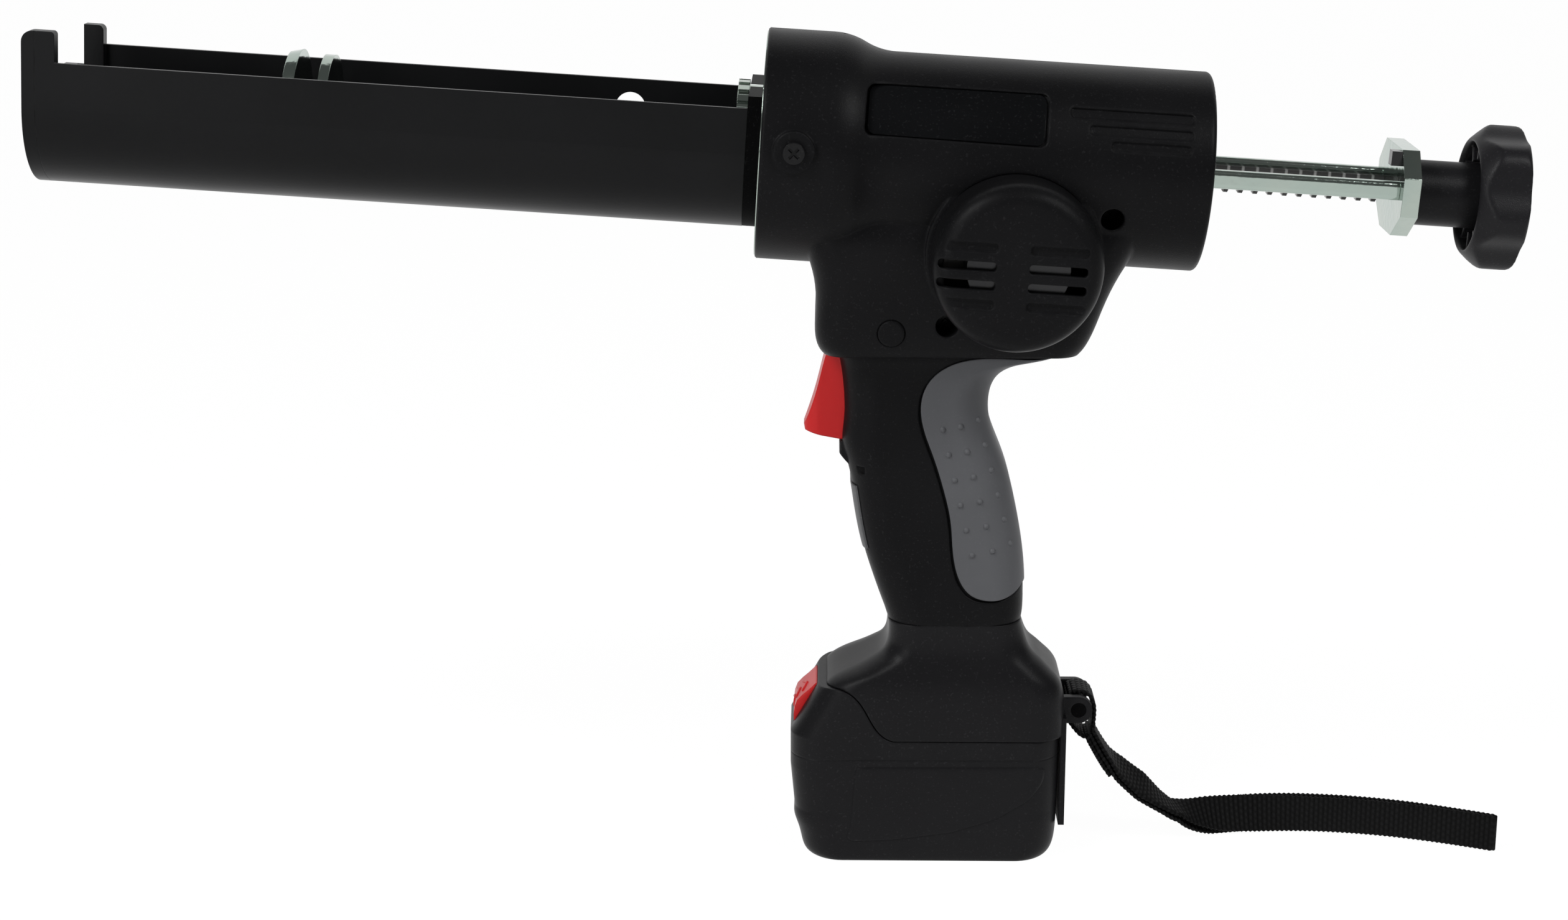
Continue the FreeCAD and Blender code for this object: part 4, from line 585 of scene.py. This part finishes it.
def surface_tree(name: str) -> BVHTree:
    """Makes a search tree of a CAD node's faces, in the row frame.

    Args:
        name: the node.

    Returns:
        The tree.
    """
    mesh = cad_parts[name].data
    count = len(mesh.vertices)
    points = np.empty(count * 3, dtype=np.float32)
    mesh.vertices.foreach_get("co", points)
    mesh.calc_loop_triangles()
    triangles = np.empty(len(mesh.loop_triangles) * 3, dtype=np.int32)
    mesh.loop_triangles.foreach_get("vertices", triangles)
    return BVHTree.FromPolygons(points.reshape(-1, 3).tolist(), triangles.reshape(-1, 3).tolist())


@dataclass
class Housing:
    """The two black shells with their screws, the motor cover, the label place and the inner frame."""

    shells: tuple[str, ...] = ("left_housing", "right_housing", "motor_cover", "side_plug", "rear_guide")
    screws: tuple[str, ...] = ("housing_screws",)
    inner_steel: tuple[str, ...] = ("frame_plate_left", "frame_plate_right", "frame_posts", "gearbox_case")
    # The motor can is painted dark: painted shade seen through the vent slots.
    painted_shade_inside: tuple[str, ...] = ("motor_can",)
    joint_gap: float = 0.0002
    shadow_half_width: float = 0.00028
    shadow_rise: float = 0.00012

    def build(self) -> None:
        """Finishes the housing's nodes."""
        paint(BLACK_NYLON, *self.shells)
        paint(GEAR_STEEL, *self.inner_steel)
        paint(BLACKENED_STEEL_AND_SHADE, *self.painted_shade_inside)
        paint(BLACK_SCREW, *self.screws)
        paint(LABEL_FILM, "label_plate")
        paint(BRONZE, "shaft_bushes")
        paint(BOARD, "control_board")
        paint(BLACK_NYLON, "switch_body")
        self._plug_gap_shadow()

    def _plug_gap_shadow(self) -> None:
        """Builds a painted shadow round the side plug: a thin near-black ring about the plug's middle, laid
        on the housing, standing for the shade in the gap.
        """
        low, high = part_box("side_plug")
        middle = (np.array(low) + np.array(high)) / 2
        reach = (high[0] - low[0]) / 2
        tree = surface_tree("left_housing")
        turn = np.linspace(0.0, math.tau, 96, endpoint=False)
        outward = np.stack([np.cos(turn), 0.0 * turn, np.sin(turn)], axis=-1)
        spots = middle + (reach + self.joint_gap) * outward
        hits = [tree.ray_cast(Vector((x, -0.1, z)), Vector((0.0, 1.0, 0.0)))[0] for x, _, z in spots]
        depth = np.array([hit.y for hit in hits])
        width = np.array([-1.0, -0.5, 0.5, 1.0, 0.5, -0.5]) * self.shadow_half_width
        rise = np.array([0.0, -1.0, -1.0, 0.0, 1.0, 1.0]) * self.shadow_rise
        rings = spots[:, None] + width[None, :, None] * outward[:, None]
        rings[..., 1] = depth[:, None] + rise[None, :]
        body = Body()
        body.hoop(rings)
        # A near-black ring: painted shadow of the gap round the plug.
        joint = body.build("plug_gap_shadow", BLACK_AND_PAINTED_SHADE)
        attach(joint, "tool_body")


@dataclass
class Grip:
    """The soft grey back of the handle with its small domes, and the finger insert."""

    columns: tuple[tuple[Point, Point], ...] = (
        ((0.0044, 0.0, 0.1492), (0.0146, 0.0, 0.1067)),
        ((0.0102, 0.0, 0.1502), (0.0213, 0.0, 0.1081)),
        ((0.0160, 0.0, 0.1519), (0.0273, 0.0, 0.1101)),
    )
    rows: int = 6
    radius: float = 0.00105
    height: float = 0.00072
    sunk: float = 0.0004

    def build(self) -> None:
        """Finishes the grip and sets its domes."""
        paint(GREY_GRIP, "grip_overmould")
        paint(INSERT_GREY, "finger_insert")
        body = Body()
        tree = surface_tree("grip_overmould")
        for side in (-1.0, 1.0):
            for top, low in self.columns:
                for step in np.linspace(0.0, 1.0, self.rows):
                    self._dome(body, tree, Vector(top).lerp(Vector(low), step), side)
        domes = body.build("grip_domes", GREY_GRIP)
        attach(domes, "tool_body")

    def _dome(self, body: Body, tree: BVHTree, spot: Vector, side: float) -> None:
        """Adds one dome: a round cap turned about the skin's normal, sunk a little into the skin.

        Args:
            body: the mesh that it joins.
            tree: the skin's faces.
            spot: the place in the XZ plane.
            side: -1 for the left skin and 1 for the right one.
        """
        place, normal, _, _ = tree.ray_cast(Vector((spot.x, side * 0.1, spot.z)), Vector((0.0, -side, 0.0)))
        if place is None:
            return
        normal = normal if normal.y * side > 0 else -normal
        first = normal.orthogonal().normalized()
        second = normal.cross(first)
        turn = np.linspace(0.0, math.tau, 20, endpoint=False)
        share = np.array([1.0, 1.0, 0.86, 0.66, 0.42, 0.18])
        lift = np.concatenate([[-self.sunk], self.height * np.array([0.0, 0.22, 0.62, 0.9, 1.0])])
        circle = np.outer(np.cos(turn), first) + np.outer(np.sin(turn), second)
        rings = (np.array(place) + self.radius * share[:, None, None] * circle[None]
                 + lift[:, None, None] * np.array(normal))
        body.tube(rings)


@dataclass
class Cradle:
    """The black steel trough that holds a cartridge, its end plates and the ring that locks it."""

    def build(self) -> None:
        """Finishes the cradle's nodes."""
        paint(BLACK_STEEL, "cradle_trough", "cradle_front_plate")
        paint(BLACK_AND_PAINTED_SHADE, "cradle_rear_plate")
        paint(ZINC_STEEL, "lock_ring", "spigot_flange")


@dataclass
class PushRod:
    """The twin rails with racks, the plunger at the front, and the end plate and knob at the rear.

    The knob's profile gives the place along the barrel and the radius, in millimetres.
    """

    knob_profile: tuple[tuple[float, float], ...] = (
        (233.5, 10.6), (233.5, 16.4), (233.1, 16.9), (228.0, 17.3), (227.0, 17.5), (226.6, 17.8),
        (226.5, 18.1), (226.6, 18.5), (227.1, 19.1), (228.0, 19.9), (229.0, 20.8), (230.0, 21.6),
        (231.0, 22.4), (231.8, 22.9), (232.5, 23.2), (233.4, 23.3), (235.0, 23.3), (237.0, 23.3),
        (239.0, 23.3), (240.6, 23.2), (241.4, 22.9), (241.9, 22.4), (242.2, 21.7), (242.3, 20.9),
        (242.3, 18.6), (241.9, 18.2), (241.9, 12.0), (241.9, 2.0),
    )
    lobes: int = 6
    knob_lobe: float = 23.35
    knob_scallop: float = 3.0
    knob_blend: float = 0.02
    knob_turn: float = math.radians(15.0)
    knob_drop: float = -2.0
    ribs: int = 12
    rib_radii: tuple[float, float] = (12.0, 17.2)
    rib_half_width: float = 0.55
    rib_span: tuple[float, float] = (228.6, 233.6)

    def build(self) -> None:
        """Finishes the rod's nodes."""
        paint(ZINC_STEEL, "left_rail", "right_rail", "end_plate", "piston_disc", "pusher_disc",
              "plunger_bolt")
        paint(DARK_STEEL, "left_rack", "right_rack")
        paint(BLACKENED_STEEL_AND_SHADE, "limit_nut")
        paint(PACK_NYLON, "knob_stem")
        self._knob()

    def _knob(self) -> None:
        """Builds the six-lobed knob: a profile of radius by place along the rod, turned about the stem.

        Each radius is held under a wave of the angle that falls by the scallop's depth between the lobes,
        by a smooth lesser of the two, so the scallops run out on the cone. Ribs stand in the hollow front.
        """
        turn = np.linspace(0.0, math.tau, 288, endpoint=False)
        wave = (0.5 - 0.5 * np.cos(self.lobes * (turn - self.knob_turn))) ** 0.9
        along, radius = (np.array(row)[:, None] for row in zip(*self.knob_profile))
        cut = self.knob_lobe - self.knob_scallop * wave[None, :]
        reach = 0.5 * (radius + cut - np.sqrt((radius - cut) ** 2 + self.knob_blend)) * MM
        place = np.broadcast_to(along * MM, reach.shape)
        body = Body()
        body.tube(self._round(place, reach, turn[None, :])[::-1])
        radii = np.repeat(self.rib_radii, 2)[None, :]
        half = self.rib_half_width / radii * np.array([[-1.0, 1.0, 1.0, -1.0]])
        far = np.broadcast_to(radii * MM, (2, 4))
        depth = np.broadcast_to(np.array(self.rib_span)[:, None] * MM, (2, 4))
        for spot in np.arange(self.ribs) / self.ribs * math.tau:
            body.tube(self._round(depth, far, np.broadcast_to(spot + half, (2, 4))))
        knob = body.build("grip_knob", KNOB_NYLON, sharp=50.0)
        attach(knob, "push_rod")
        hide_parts("pull_knob")

    def _round(self, along: np.ndarray, reach: np.ndarray, turn: np.ndarray) -> np.ndarray:
        """Points about the stem's axis from places along it, radii and angles, in metres and radians."""
        return barrel_points(along, reach * np.sin(turn), reach * np.cos(turn) + self.knob_drop * MM)


@dataclass
class Drive:
    """The gears and shafts inside the housing."""

    def build(self) -> None:
        """Finishes the gears."""
        paint(GEAR_STEEL, "pinion_shaft", "left_pinion", "right_pinion", "final_gear", "output_pinion")


@dataclass(frozen=True)
class Spring:
    """One wire spring: where it stands, along what, its joint and the share of it to keep."""

    node: str
    piece: str
    body: str
    joint: str
    along: Point
    length: float
    turns: int
    keep: float
    reach: float = 0.0032
    wire: float = 0.0004

    def build(self) -> None:
        """Builds the spring: a round wire on a helix about the node's middle."""
        low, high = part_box(self.node)
        axis = np.array(self.along)
        start = (np.array(low) + np.array(high)) / 2 - axis * self.length / 2
        side = np.array([0.0, 1.0, 0.0])
        third = np.cross(axis, side)
        angle = np.linspace(0.0, math.tau * self.turns, 40 * self.turns + 1)[:, None]
        rise = self.wire + (self.length - 2 * self.wire) * angle / angle[-1]
        outward = np.cos(angle) * side + np.sin(angle) * third
        line = start + rise * axis + self.reach * outward
        second = np.cross(headings(line), outward)
        body = Body()
        body.tube(wire_rings(line, outward, second, self.wire, 10))
        spring = body.build(self.piece, GEAR_STEEL)
        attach(spring, self.body)
        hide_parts(self.node)
        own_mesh(spring)


@dataclass
class TriggerSet:
    """The red trigger and its return spring."""

    spring: Spring = Spring("trigger_spring", "trigger_return_spring", "tool_body", "trigger_pull",
                            (1.0, 0.0, 0.0), 0.009, 3, 0.335)

    def build(self) -> None:
        """Finishes the trigger and builds its spring."""
        paint(RED_PLASTIC, "trigger")
        self.spring.build()


@dataclass
class Battery:
    """The foot, the battery pack, its cells and the red latch with its finger ridges."""

    ridge_lifts: tuple[float, ...] = (0.0075, 0.0105, 0.0135)
    ridge_foot: tuple[float, float] = (-0.045, 0.0438)
    ridge_half_width: float = 0.0052
    ridge_fall: float = 0.0021
    ridge_radius: float = 0.00048
    ridge_stand_off: float = 0.02
    panel_edge: tuple[tuple[float, float], ...] = (
        (-23.4, 34.0), (-24.2, 22.0), (-24.8, 13.0), (-26.6, 8.4), (-24.4, 7.4), (-9.5, 8.2), (8.7, 10.8),
        (24.6, 16.0), (35.0, 22.6), (39.6, 28.6), (40.4, 33.6), (38.0, 34.2),
    )
    panel_lift: float = 0.0004
    spring: Spring = Spring("latch_spring", "latch_return_spring", "battery", "latch_press",
                            LATCH_INWARD, 0.005, 2, 0.5)

    def build(self) -> None:
        """Finishes the foot and the battery's nodes."""
        paint(BLACK_NYLON, "terminal_block")
        paint(PACK_NYLON, "battery_foot", "battery_upper_case", "battery_lower_case")
        paint(RED_PLASTIC, "battery_latch")
        # The lug pin is painted near black: painted shade of its hollow centre.
        paint(BLACK_AND_PAINTED_SHADE, "lug_pin")
        paint(COPPER, "terminal_blades", "cell_straps", "battery_contacts")
        paint(CELL_WRAP, "battery_cells")
        paint(BOARD, "battery_board")
        self._ridges()
        self._panels()
        self.spring.build()

    def _panels(self) -> None:
        """Builds the low panel on each side of the pack: rings of its outline drawn in to its middle.

        The outline runs straight between its points and is then smoothed. Each ring is laid on the case's
        side, the outer two sunk in it and the others standing out, so the panel's edge is a round step.
        """
        tree = surface_tree("battery_lower_case")
        corner = np.array(self.panel_edge + self.panel_edge[:1]) * MM
        run = distances(corner)
        places = np.linspace(0.0, run[-1], 160, endpoint=False)
        outline = np.stack([np.interp(places, run, corner[:, k]) for k in range(2)], axis=-1)
        for _ in range(3):
            outline = 0.5 * outline + 0.25 * (np.roll(outline, 1, axis=0) + np.roll(outline, -1, axis=0))
        middle = outline.mean(axis=0)
        share = np.array([1.0, 1.0, 0.992, 0.982, 0.97, 0.8, 0.5, 0.2])
        lift = np.array([-1.5, -0.4, 0.55, 0.9, 1.0, 1.0, 1.0, 1.0]) * self.panel_lift
        body = Body()
        for side in (-1.0, 1.0):
            flat = middle + share[:, None, None] * (outline - middle)[None]
            flat = flat if side < 0.0 else flat[:, ::-1]
            hits = [tree.ray_cast(Vector((x, side * 0.1, z)), Vector((0.0, -side, 0.0)))[0]
                    for x, z in flat.reshape(-1, 2)]
            depth = np.array([hit.y for hit in hits]).reshape(flat.shape[:2]) + side * lift[:, None]
            body.tube(np.stack([flat[..., 0], depth, flat[..., 1]], axis=-1))
        panels = body.build("pack_panels", PACK_NYLON)
        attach(panels, "battery")

    def _ridges(self) -> None:
        """Builds finger ridges on the latch: round tubes along a V, laid on the face and half sunk in it."""
        tree = surface_tree("battery_latch")
        inward = Vector(LATCH_INWARD)
        upward = Vector(LATCH_UPWARD)
        foot_x, foot_z = self.ridge_foot
        body = Body()
        for lift in self.ridge_lifts:
            spots = []
            for side in np.linspace(-1.0, 1.0, 25):
                rise = lift - self.ridge_fall * abs(side)
                foot = Vector((foot_x, self.ridge_half_width * side, foot_z))
                start = foot + upward * rise - inward * self.ridge_stand_off
                spot, _, _, _ = tree.ray_cast(start, inward)
                if spot is not None:
                    spots.append(spot)
            line = np.array(spots)
            ahead = headings(line)
            first = unit(np.cross(ahead, np.array(inward)))
            ends = np.linspace(-1.0, 1.0, len(line)) ** 8
            swell = self.ridge_radius * np.sqrt(np.clip(1.0 - ends, 0.05, 1.0))
            body.tube(wire_rings(line, first, np.cross(ahead, first), swell[:, None, None], 12))
        ridges = body.build("latch_ridges", RED_PLASTIC)
        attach(ridges, "latch")


def spline_points(controls: list[Point], steps: int = 24) -> np.ndarray:
    """Points along a NURBS spline of order 3.

    Args:
        controls: its control points.
        steps: points for each of them.

    Returns:
        The points, by row.
    """
    curve = bpy.data.curves.new("route", "CURVE")
    curve.dimensions = "3D"
    spline = curve.splines.new("NURBS")
    spline.points.add(len(controls) - 1)
    weighted = np.column_stack([np.array(controls), np.ones(len(controls))])
    spline.points.foreach_set("co", weighted.ravel())
    spline.order_u = 3
    spline.use_endpoint_u = True
    spline.resolution_u = steps
    holder = bpy.data.objects.new("route", curve)
    mesh = bpy.data.meshes.new_from_object(holder)
    points = np.empty(len(mesh.vertices) * 3)
    mesh.vertices.foreach_get("co", points)
    bpy.data.meshes.remove(mesh)
    bpy.data.objects.remove(holder)
    bpy.data.curves.remove(curve)
    return points.reshape(-1, 3)


@dataclass
class Strap:
    """The webbing wrist strap: a loop on the lug pin, a stitched tack and a doubled band.

    Each point of the route has a twist: 0 where the width lies along Y, 1 where it stands upright. The
    parting gives the distance between the two layers by the place along X.
    """

    route: tuple[tuple[Point, float], ...] = (
        ((0.0566, 0.0, 0.0408), 0.0), ((0.0592, 0.0, 0.0358), 0.0), ((0.0630, 0.0002, 0.0298), 0.02),
        ((0.0670, 0.0006, 0.0252), 0.16), ((0.0744, 0.0012, 0.0188), 0.24), ((0.0822, 0.0026, 0.0122), 0.04),
        ((0.0868, 0.0042, 0.0086), -0.02), ((0.0925, 0.0060, 0.0062), 0.2), ((0.1010, 0.0078, 0.0056), 0.52),
        ((0.1160, 0.0082, 0.0066), 0.86), ((0.1340, 0.0076, 0.0070), 1.0), ((0.1550, 0.0044, 0.0070), 1.0),
        ((0.1760, -0.0022, 0.0070), 1.0), ((0.1928, -0.0098, 0.0070), 1.0),
    )
    loop: tuple[Point, ...] = (
        (0.0562, 0.0, 0.0392), (0.0540, 0.0, 0.0388), (0.0507, 0.0, 0.0422), (0.0479, 0.0, 0.0465),
        (0.0475, 0.0, 0.0507), (0.0487, 0.0, 0.0547), (0.0519, 0.0, 0.0557), (0.0556, 0.0, 0.0545),
        (0.0574, 0.0, 0.0507), (0.0574, 0.0, 0.0461), (0.0570, 0.0, 0.0409),
    )
    tack: tuple[Point, ...] = (
        (0.0550, 0.0, 0.0394), (0.0577, 0.0, 0.0342), (0.0608, 0.0001, 0.0288), (0.0632, 0.0002, 0.0252),
    )
    width: float = 0.0126
    layer: float = 0.00125
    parting: tuple[tuple[float, float], ...] = (
        (0.080, 0.0016), (0.098, 0.0032), (0.150, 0.0026), (0.192, 0.0016),
    )
    table_gap: float = 0.00012
    thread: float = 0.00022
    thread_points: int = 260
    thread_turns: float = 13.0

    @staticmethod
    def frames(line: np.ndarray, twist: np.ndarray) -> tuple[np.ndarray, np.ndarray, np.ndarray]:
        """The forward, across and face directions along a line.

        Args:
            line: the points.
            twist: 0 where the band's width lies along Y, 1 where it stands upright.

        Returns:
            The three directions at each point.
        """
        ahead = headings(line)
        level = unit(np.array([0.0, 1.0, 0.0]) - ahead * ahead[:, 1:2])
        angle = (np.pi / 2 * twist)[:, None]
        across = level * np.cos(angle) + np.cross(ahead, level) * np.sin(angle)
        return ahead, across, np.cross(ahead, across)

    def band(self, body: Body, line: np.ndarray, across: np.ndarray) -> None:
        """Adds a woven band: a flat rounded section swept along a line, ribbed by each weft.

        Half the section's outline is given, and the other half is its opposite. The width swells a little
        and the thickness more with each rib, as waves of the place along the line.

        Args:
            body: the mesh that it joins.
            line: the middle points.
            across: the direction of its width at each point.
        """
        face = np.cross(headings(line), across)
        along = distances(line)
        swell = 1.0 + 0.03 * np.sin(along * math.tau / RIB_PITCH)
        ribbed = 0.8 + 0.3 * np.abs(np.sin(along * np.pi / RIB_PITCH))
        half_wide = np.array([1.0, 0.985, 0.93, 0.6, 0.2, -0.2, -0.6, -0.93, -0.985])
        half_deep = np.array([0.0, 0.62, 1.0, 1.0, 1.0, 1.0, 1.0, 1.0, 0.62])
        wide = np.concatenate([half_wide, -half_wide])
        deep = np.concatenate([half_deep, -half_deep])
        side = wide[None, :] * (0.5 * self.width * swell)[:, None]
        rings = line[:, None] + side[..., None] * across[:, None]
        rings = rings + 0.5 * self.layer * (ribbed[:, None] * deep[None, :])[..., None] * face[:, None]
        rings[..., 2] = np.maximum(rings[..., 2], self.table_gap)
        body.tube(rings, np.stack(np.broadcast_arrays(along[:, None], side), axis=-1))

    def build(self) -> None:
        """Builds the doubled band, its loop on the pin and the stitched tack between them."""
        points, twists = zip(*self.route)
        line = spline_points(list(points), 60)
        twist = np.interp(line[:, 0], [point[0] for point in points], twists)
        ahead, across, face = self.frames(line, twist)
        turn = np.linspace(0.0, np.pi, 9)[1:-1, None]
        apart = 0.5 * np.interp(line[:, 0], *zip(*self.parting))[:, None]
        fold = line[-1] + apart[-1] * (np.cos(turn) * face[-1] + np.sin(turn) * ahead[-1])
        doubled = np.concatenate([line + apart * face, fold, (line - apart * face)[::-1]])
        turned = np.concatenate([across, np.repeat(across[-1:], len(fold), axis=0), across[::-1]])
        body = Body()
        self.band(body, doubled, turned)
        strap = body.build("wrist_strap", WEBBING)
        loop_line = spline_points(list(self.loop), 40)
        _, loop_across, _ = self.frames(loop_line, np.zeros(len(loop_line)))
        loop_body = Body()
        self.band(loop_body, loop_line, loop_across)
        tack_line = spline_points(list(self.tack))
        _, tack_across, tack_face = self.frames(tack_line, np.zeros(len(tack_line)))
        self.band(loop_body, tack_line, tack_across)
        self.stitches(loop_body, tack_line, tack_across, tack_face)
        loop = loop_body.build("strap_loop", WEBBING)
        for piece in (strap, loop):
            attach(piece, "tool_body")
        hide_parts("strap_tail")
        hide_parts("strap_hanger")

    def stitches(self, body: Body, line: np.ndarray, across: np.ndarray, face: np.ndarray) -> None:
        """Adds bar-tack thread: a thin tube that zigzags over the tack, a triangle wave along its length.

        Args:
            body: the mesh that it joins.
            line: the tack's middle points.
            across: the direction of its width.
            face: the direction out of its face.
        """
        place = np.linspace(0.08, 0.86, self.thread_points) * (len(line) - 1)
        index = np.arange(len(line))

        def at(rows: np.ndarray) -> np.ndarray:
            """Rows read between the tack's points."""
            return np.stack([np.interp(place, index, rows[:, k]) for k in range(3)], axis=-1)

        phase = np.linspace(0.0, self.thread_turns, self.thread_points) % 1.0
        zigzag = np.abs(phase * 2.0 - 1.0) * 2.0 - 1.0
        for side in (-1.0, 1.0):
            centre = at(line) + (zigzag * 0.4 * self.width)[:, None] * at(across)
            centre = centre + side * 0.56 * self.layer * at(face)
            ahead = headings(centre)
            first = unit(np.cross(ahead, at(face)))
            body.tube(wire_rings(centre, first, np.cross(ahead, first), self.thread, 8))


@dataclass
class Studio:
    """A pale floor with a curved back, three soft lights and the camera."""

    eye: Point = (-0.034, -0.90, 0.377)
    aim: Point = (-0.0474, 0.0, 0.1342)
    lens: float = 64.5
    floor_reach: float = 4.0
    floor_flat: float = 1.5
    floor_bend: float = 1.2
    wall_top: float = 5.0
    paper_glow: float = 1.05
    glow_share: float = 0.93
    surround: float = 0.12

    def build(self) -> None:
        """Builds the whole studio."""
        self._floor()
        self._light("key_light", (-0.66, -0.50, 1.00), (-0.08, 0.0, 0.18), 0.36, 6.0)
        self._light("side_light", (0.62, -0.55, 0.95), (0.02, 0.0, 0.16), 0.36, 4.2)
        self._light("front_light", (-0.70, -0.95, 0.42), (-0.03, 0.0, 0.13), 0.45, 2.2)
        self._world()
        self._camera()
        bpy.context.scene.view_settings.view_transform = "Standard"

    def _floor(self) -> None:
        """A sheet from in front of the object, along the floor and up behind it in a wide curve."""
        across = np.linspace(-self.floor_reach, self.floor_reach, 9)
        bend = np.linspace(0.1, np.pi / 2, 14)
        wall = self.floor_flat + self.floor_bend
        curve = self.floor_flat + self.floor_bend * np.sin(bend)
        forward = np.concatenate([[-self.floor_reach, 0.0, self.floor_flat], curve, [wall]])
        climb = self.floor_bend - self.floor_bend * np.cos(bend)
        rise = np.concatenate([[0.0, 0.0, 0.0], climb, [self.wall_top]])
        points = np.stack(np.broadcast_arrays(across[None, :], forward[:, None], rise[:, None]), axis=-1)
        rows, columns, _ = points.shape
        row, column = np.meshgrid(np.arange(rows - 1), np.arange(columns - 1), indexing="ij")
        corner = (row * columns + column).ravel()
        faces = np.stack([corner, corner + 1, corner + columns + 1, corner + columns], axis=-1)
        mesh = bpy.data.meshes.new("floor")
        mesh.from_pydata(points.reshape(-1, 3).tolist(), [], faces.tolist())
        mesh.shade_smooth()
        made = bpy.data.objects.new("floor", mesh)
        bpy.context.scene.collection.objects.link(made)
        material = bpy.data.materials.new("floor")
        material.use_nodes = True
        material.node_tree.nodes.clear()
        graph = Graph(material.node_tree)
        here = graph.add("ShaderNodeTexCoord").outputs["Object"]
        tone = graph.blend(graph.noise(here, 9.0, 3.0), (0.86, 0.86, 0.86, 1.0), (0.88, 0.88, 0.88, 1.0))
        paper = graph.add("ShaderNodeBsdfDiffuse", {"Color": tone})
        glow = graph.add("ShaderNodeEmission",
                         {"Color": (1.0, 1.0, 1.0, 1.0), "Strength": self.paper_glow})
        rays = graph.add("ShaderNodeLightPath").outputs
        mirrored = graph.maths("MAXIMUM", rays["Is Glossy Ray"], rays["Is Transmission Ray"])
        seen = graph.maths("MAXIMUM", rays["Is Camera Ray"], mirrored)
        share = graph.maths("MULTIPLY", seen, self.glow_share)
        mixed = graph.add("ShaderNodeMixShader", {0: share, 1: paper.outputs[0], 2: glow.outputs[0]})
        graph.add("ShaderNodeOutputMaterial", {"Surface": mixed.outputs[0]})
        mesh.materials.append(material)
        made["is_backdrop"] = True

    @staticmethod
    def _light(name: str, place: Point, aim: Point, width: float, power: float) -> None:
        """Adds a square soft light.

        Args:
            name: the light's name.
            place: where it hangs, in metres.
            aim: the point that it faces.
            width: its side, in metres.
            power: its power in watts.
        """
        lamp = bpy.data.lights.new(name, "AREA")
        lamp.shape = "SQUARE"
        lamp.size = width
        lamp.energy = power
        made = bpy.data.objects.new(name, lamp)
        made.location = place
        made.rotation_euler = (Vector(aim) - Vector(place)).to_track_quat("-Z", "Y").to_euler()
        bpy.context.scene.collection.objects.link(made)

    def _world(self) -> None:
        """An even pale surround."""
        world = bpy.data.worlds.new("surround")
        world.use_nodes = True
        light = world.node_tree.nodes["Background"].inputs
        light["Color"].default_value = (1.0, 1.0, 1.0, 1.0)
        light["Strength"].default_value = self.surround
        bpy.context.scene.world = world

    def _camera(self) -> None:
        """The photograph's camera: its height and distance, turned down to the object's middle."""
        lens = bpy.data.cameras.new("camera")
        lens.lens = self.lens
        lens.sensor_width = 36.0
        made = bpy.data.objects.new("camera", lens)
        made.location = self.eye
        made.rotation_euler = (Vector(self.aim) - Vector(self.eye)).to_track_quat("-Z", "Y").to_euler()
        bpy.context.scene.collection.objects.link(made)
        bpy.context.scene.camera = made


def corners() -> list[list[float]]:
    """The shown object's lowest and highest corners."""
    return [list(corner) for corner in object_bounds()]


def main() -> None:
    """Builds the studio and every sub-assembly."""
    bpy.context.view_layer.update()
    parts = (Studio(), Housing(), Grip(), Cradle(), PushRod(), Drive(), TriggerSet(), Battery(), Strap())
    for part in parts:
        part.build()


if __name__ == "__main__":
    main()
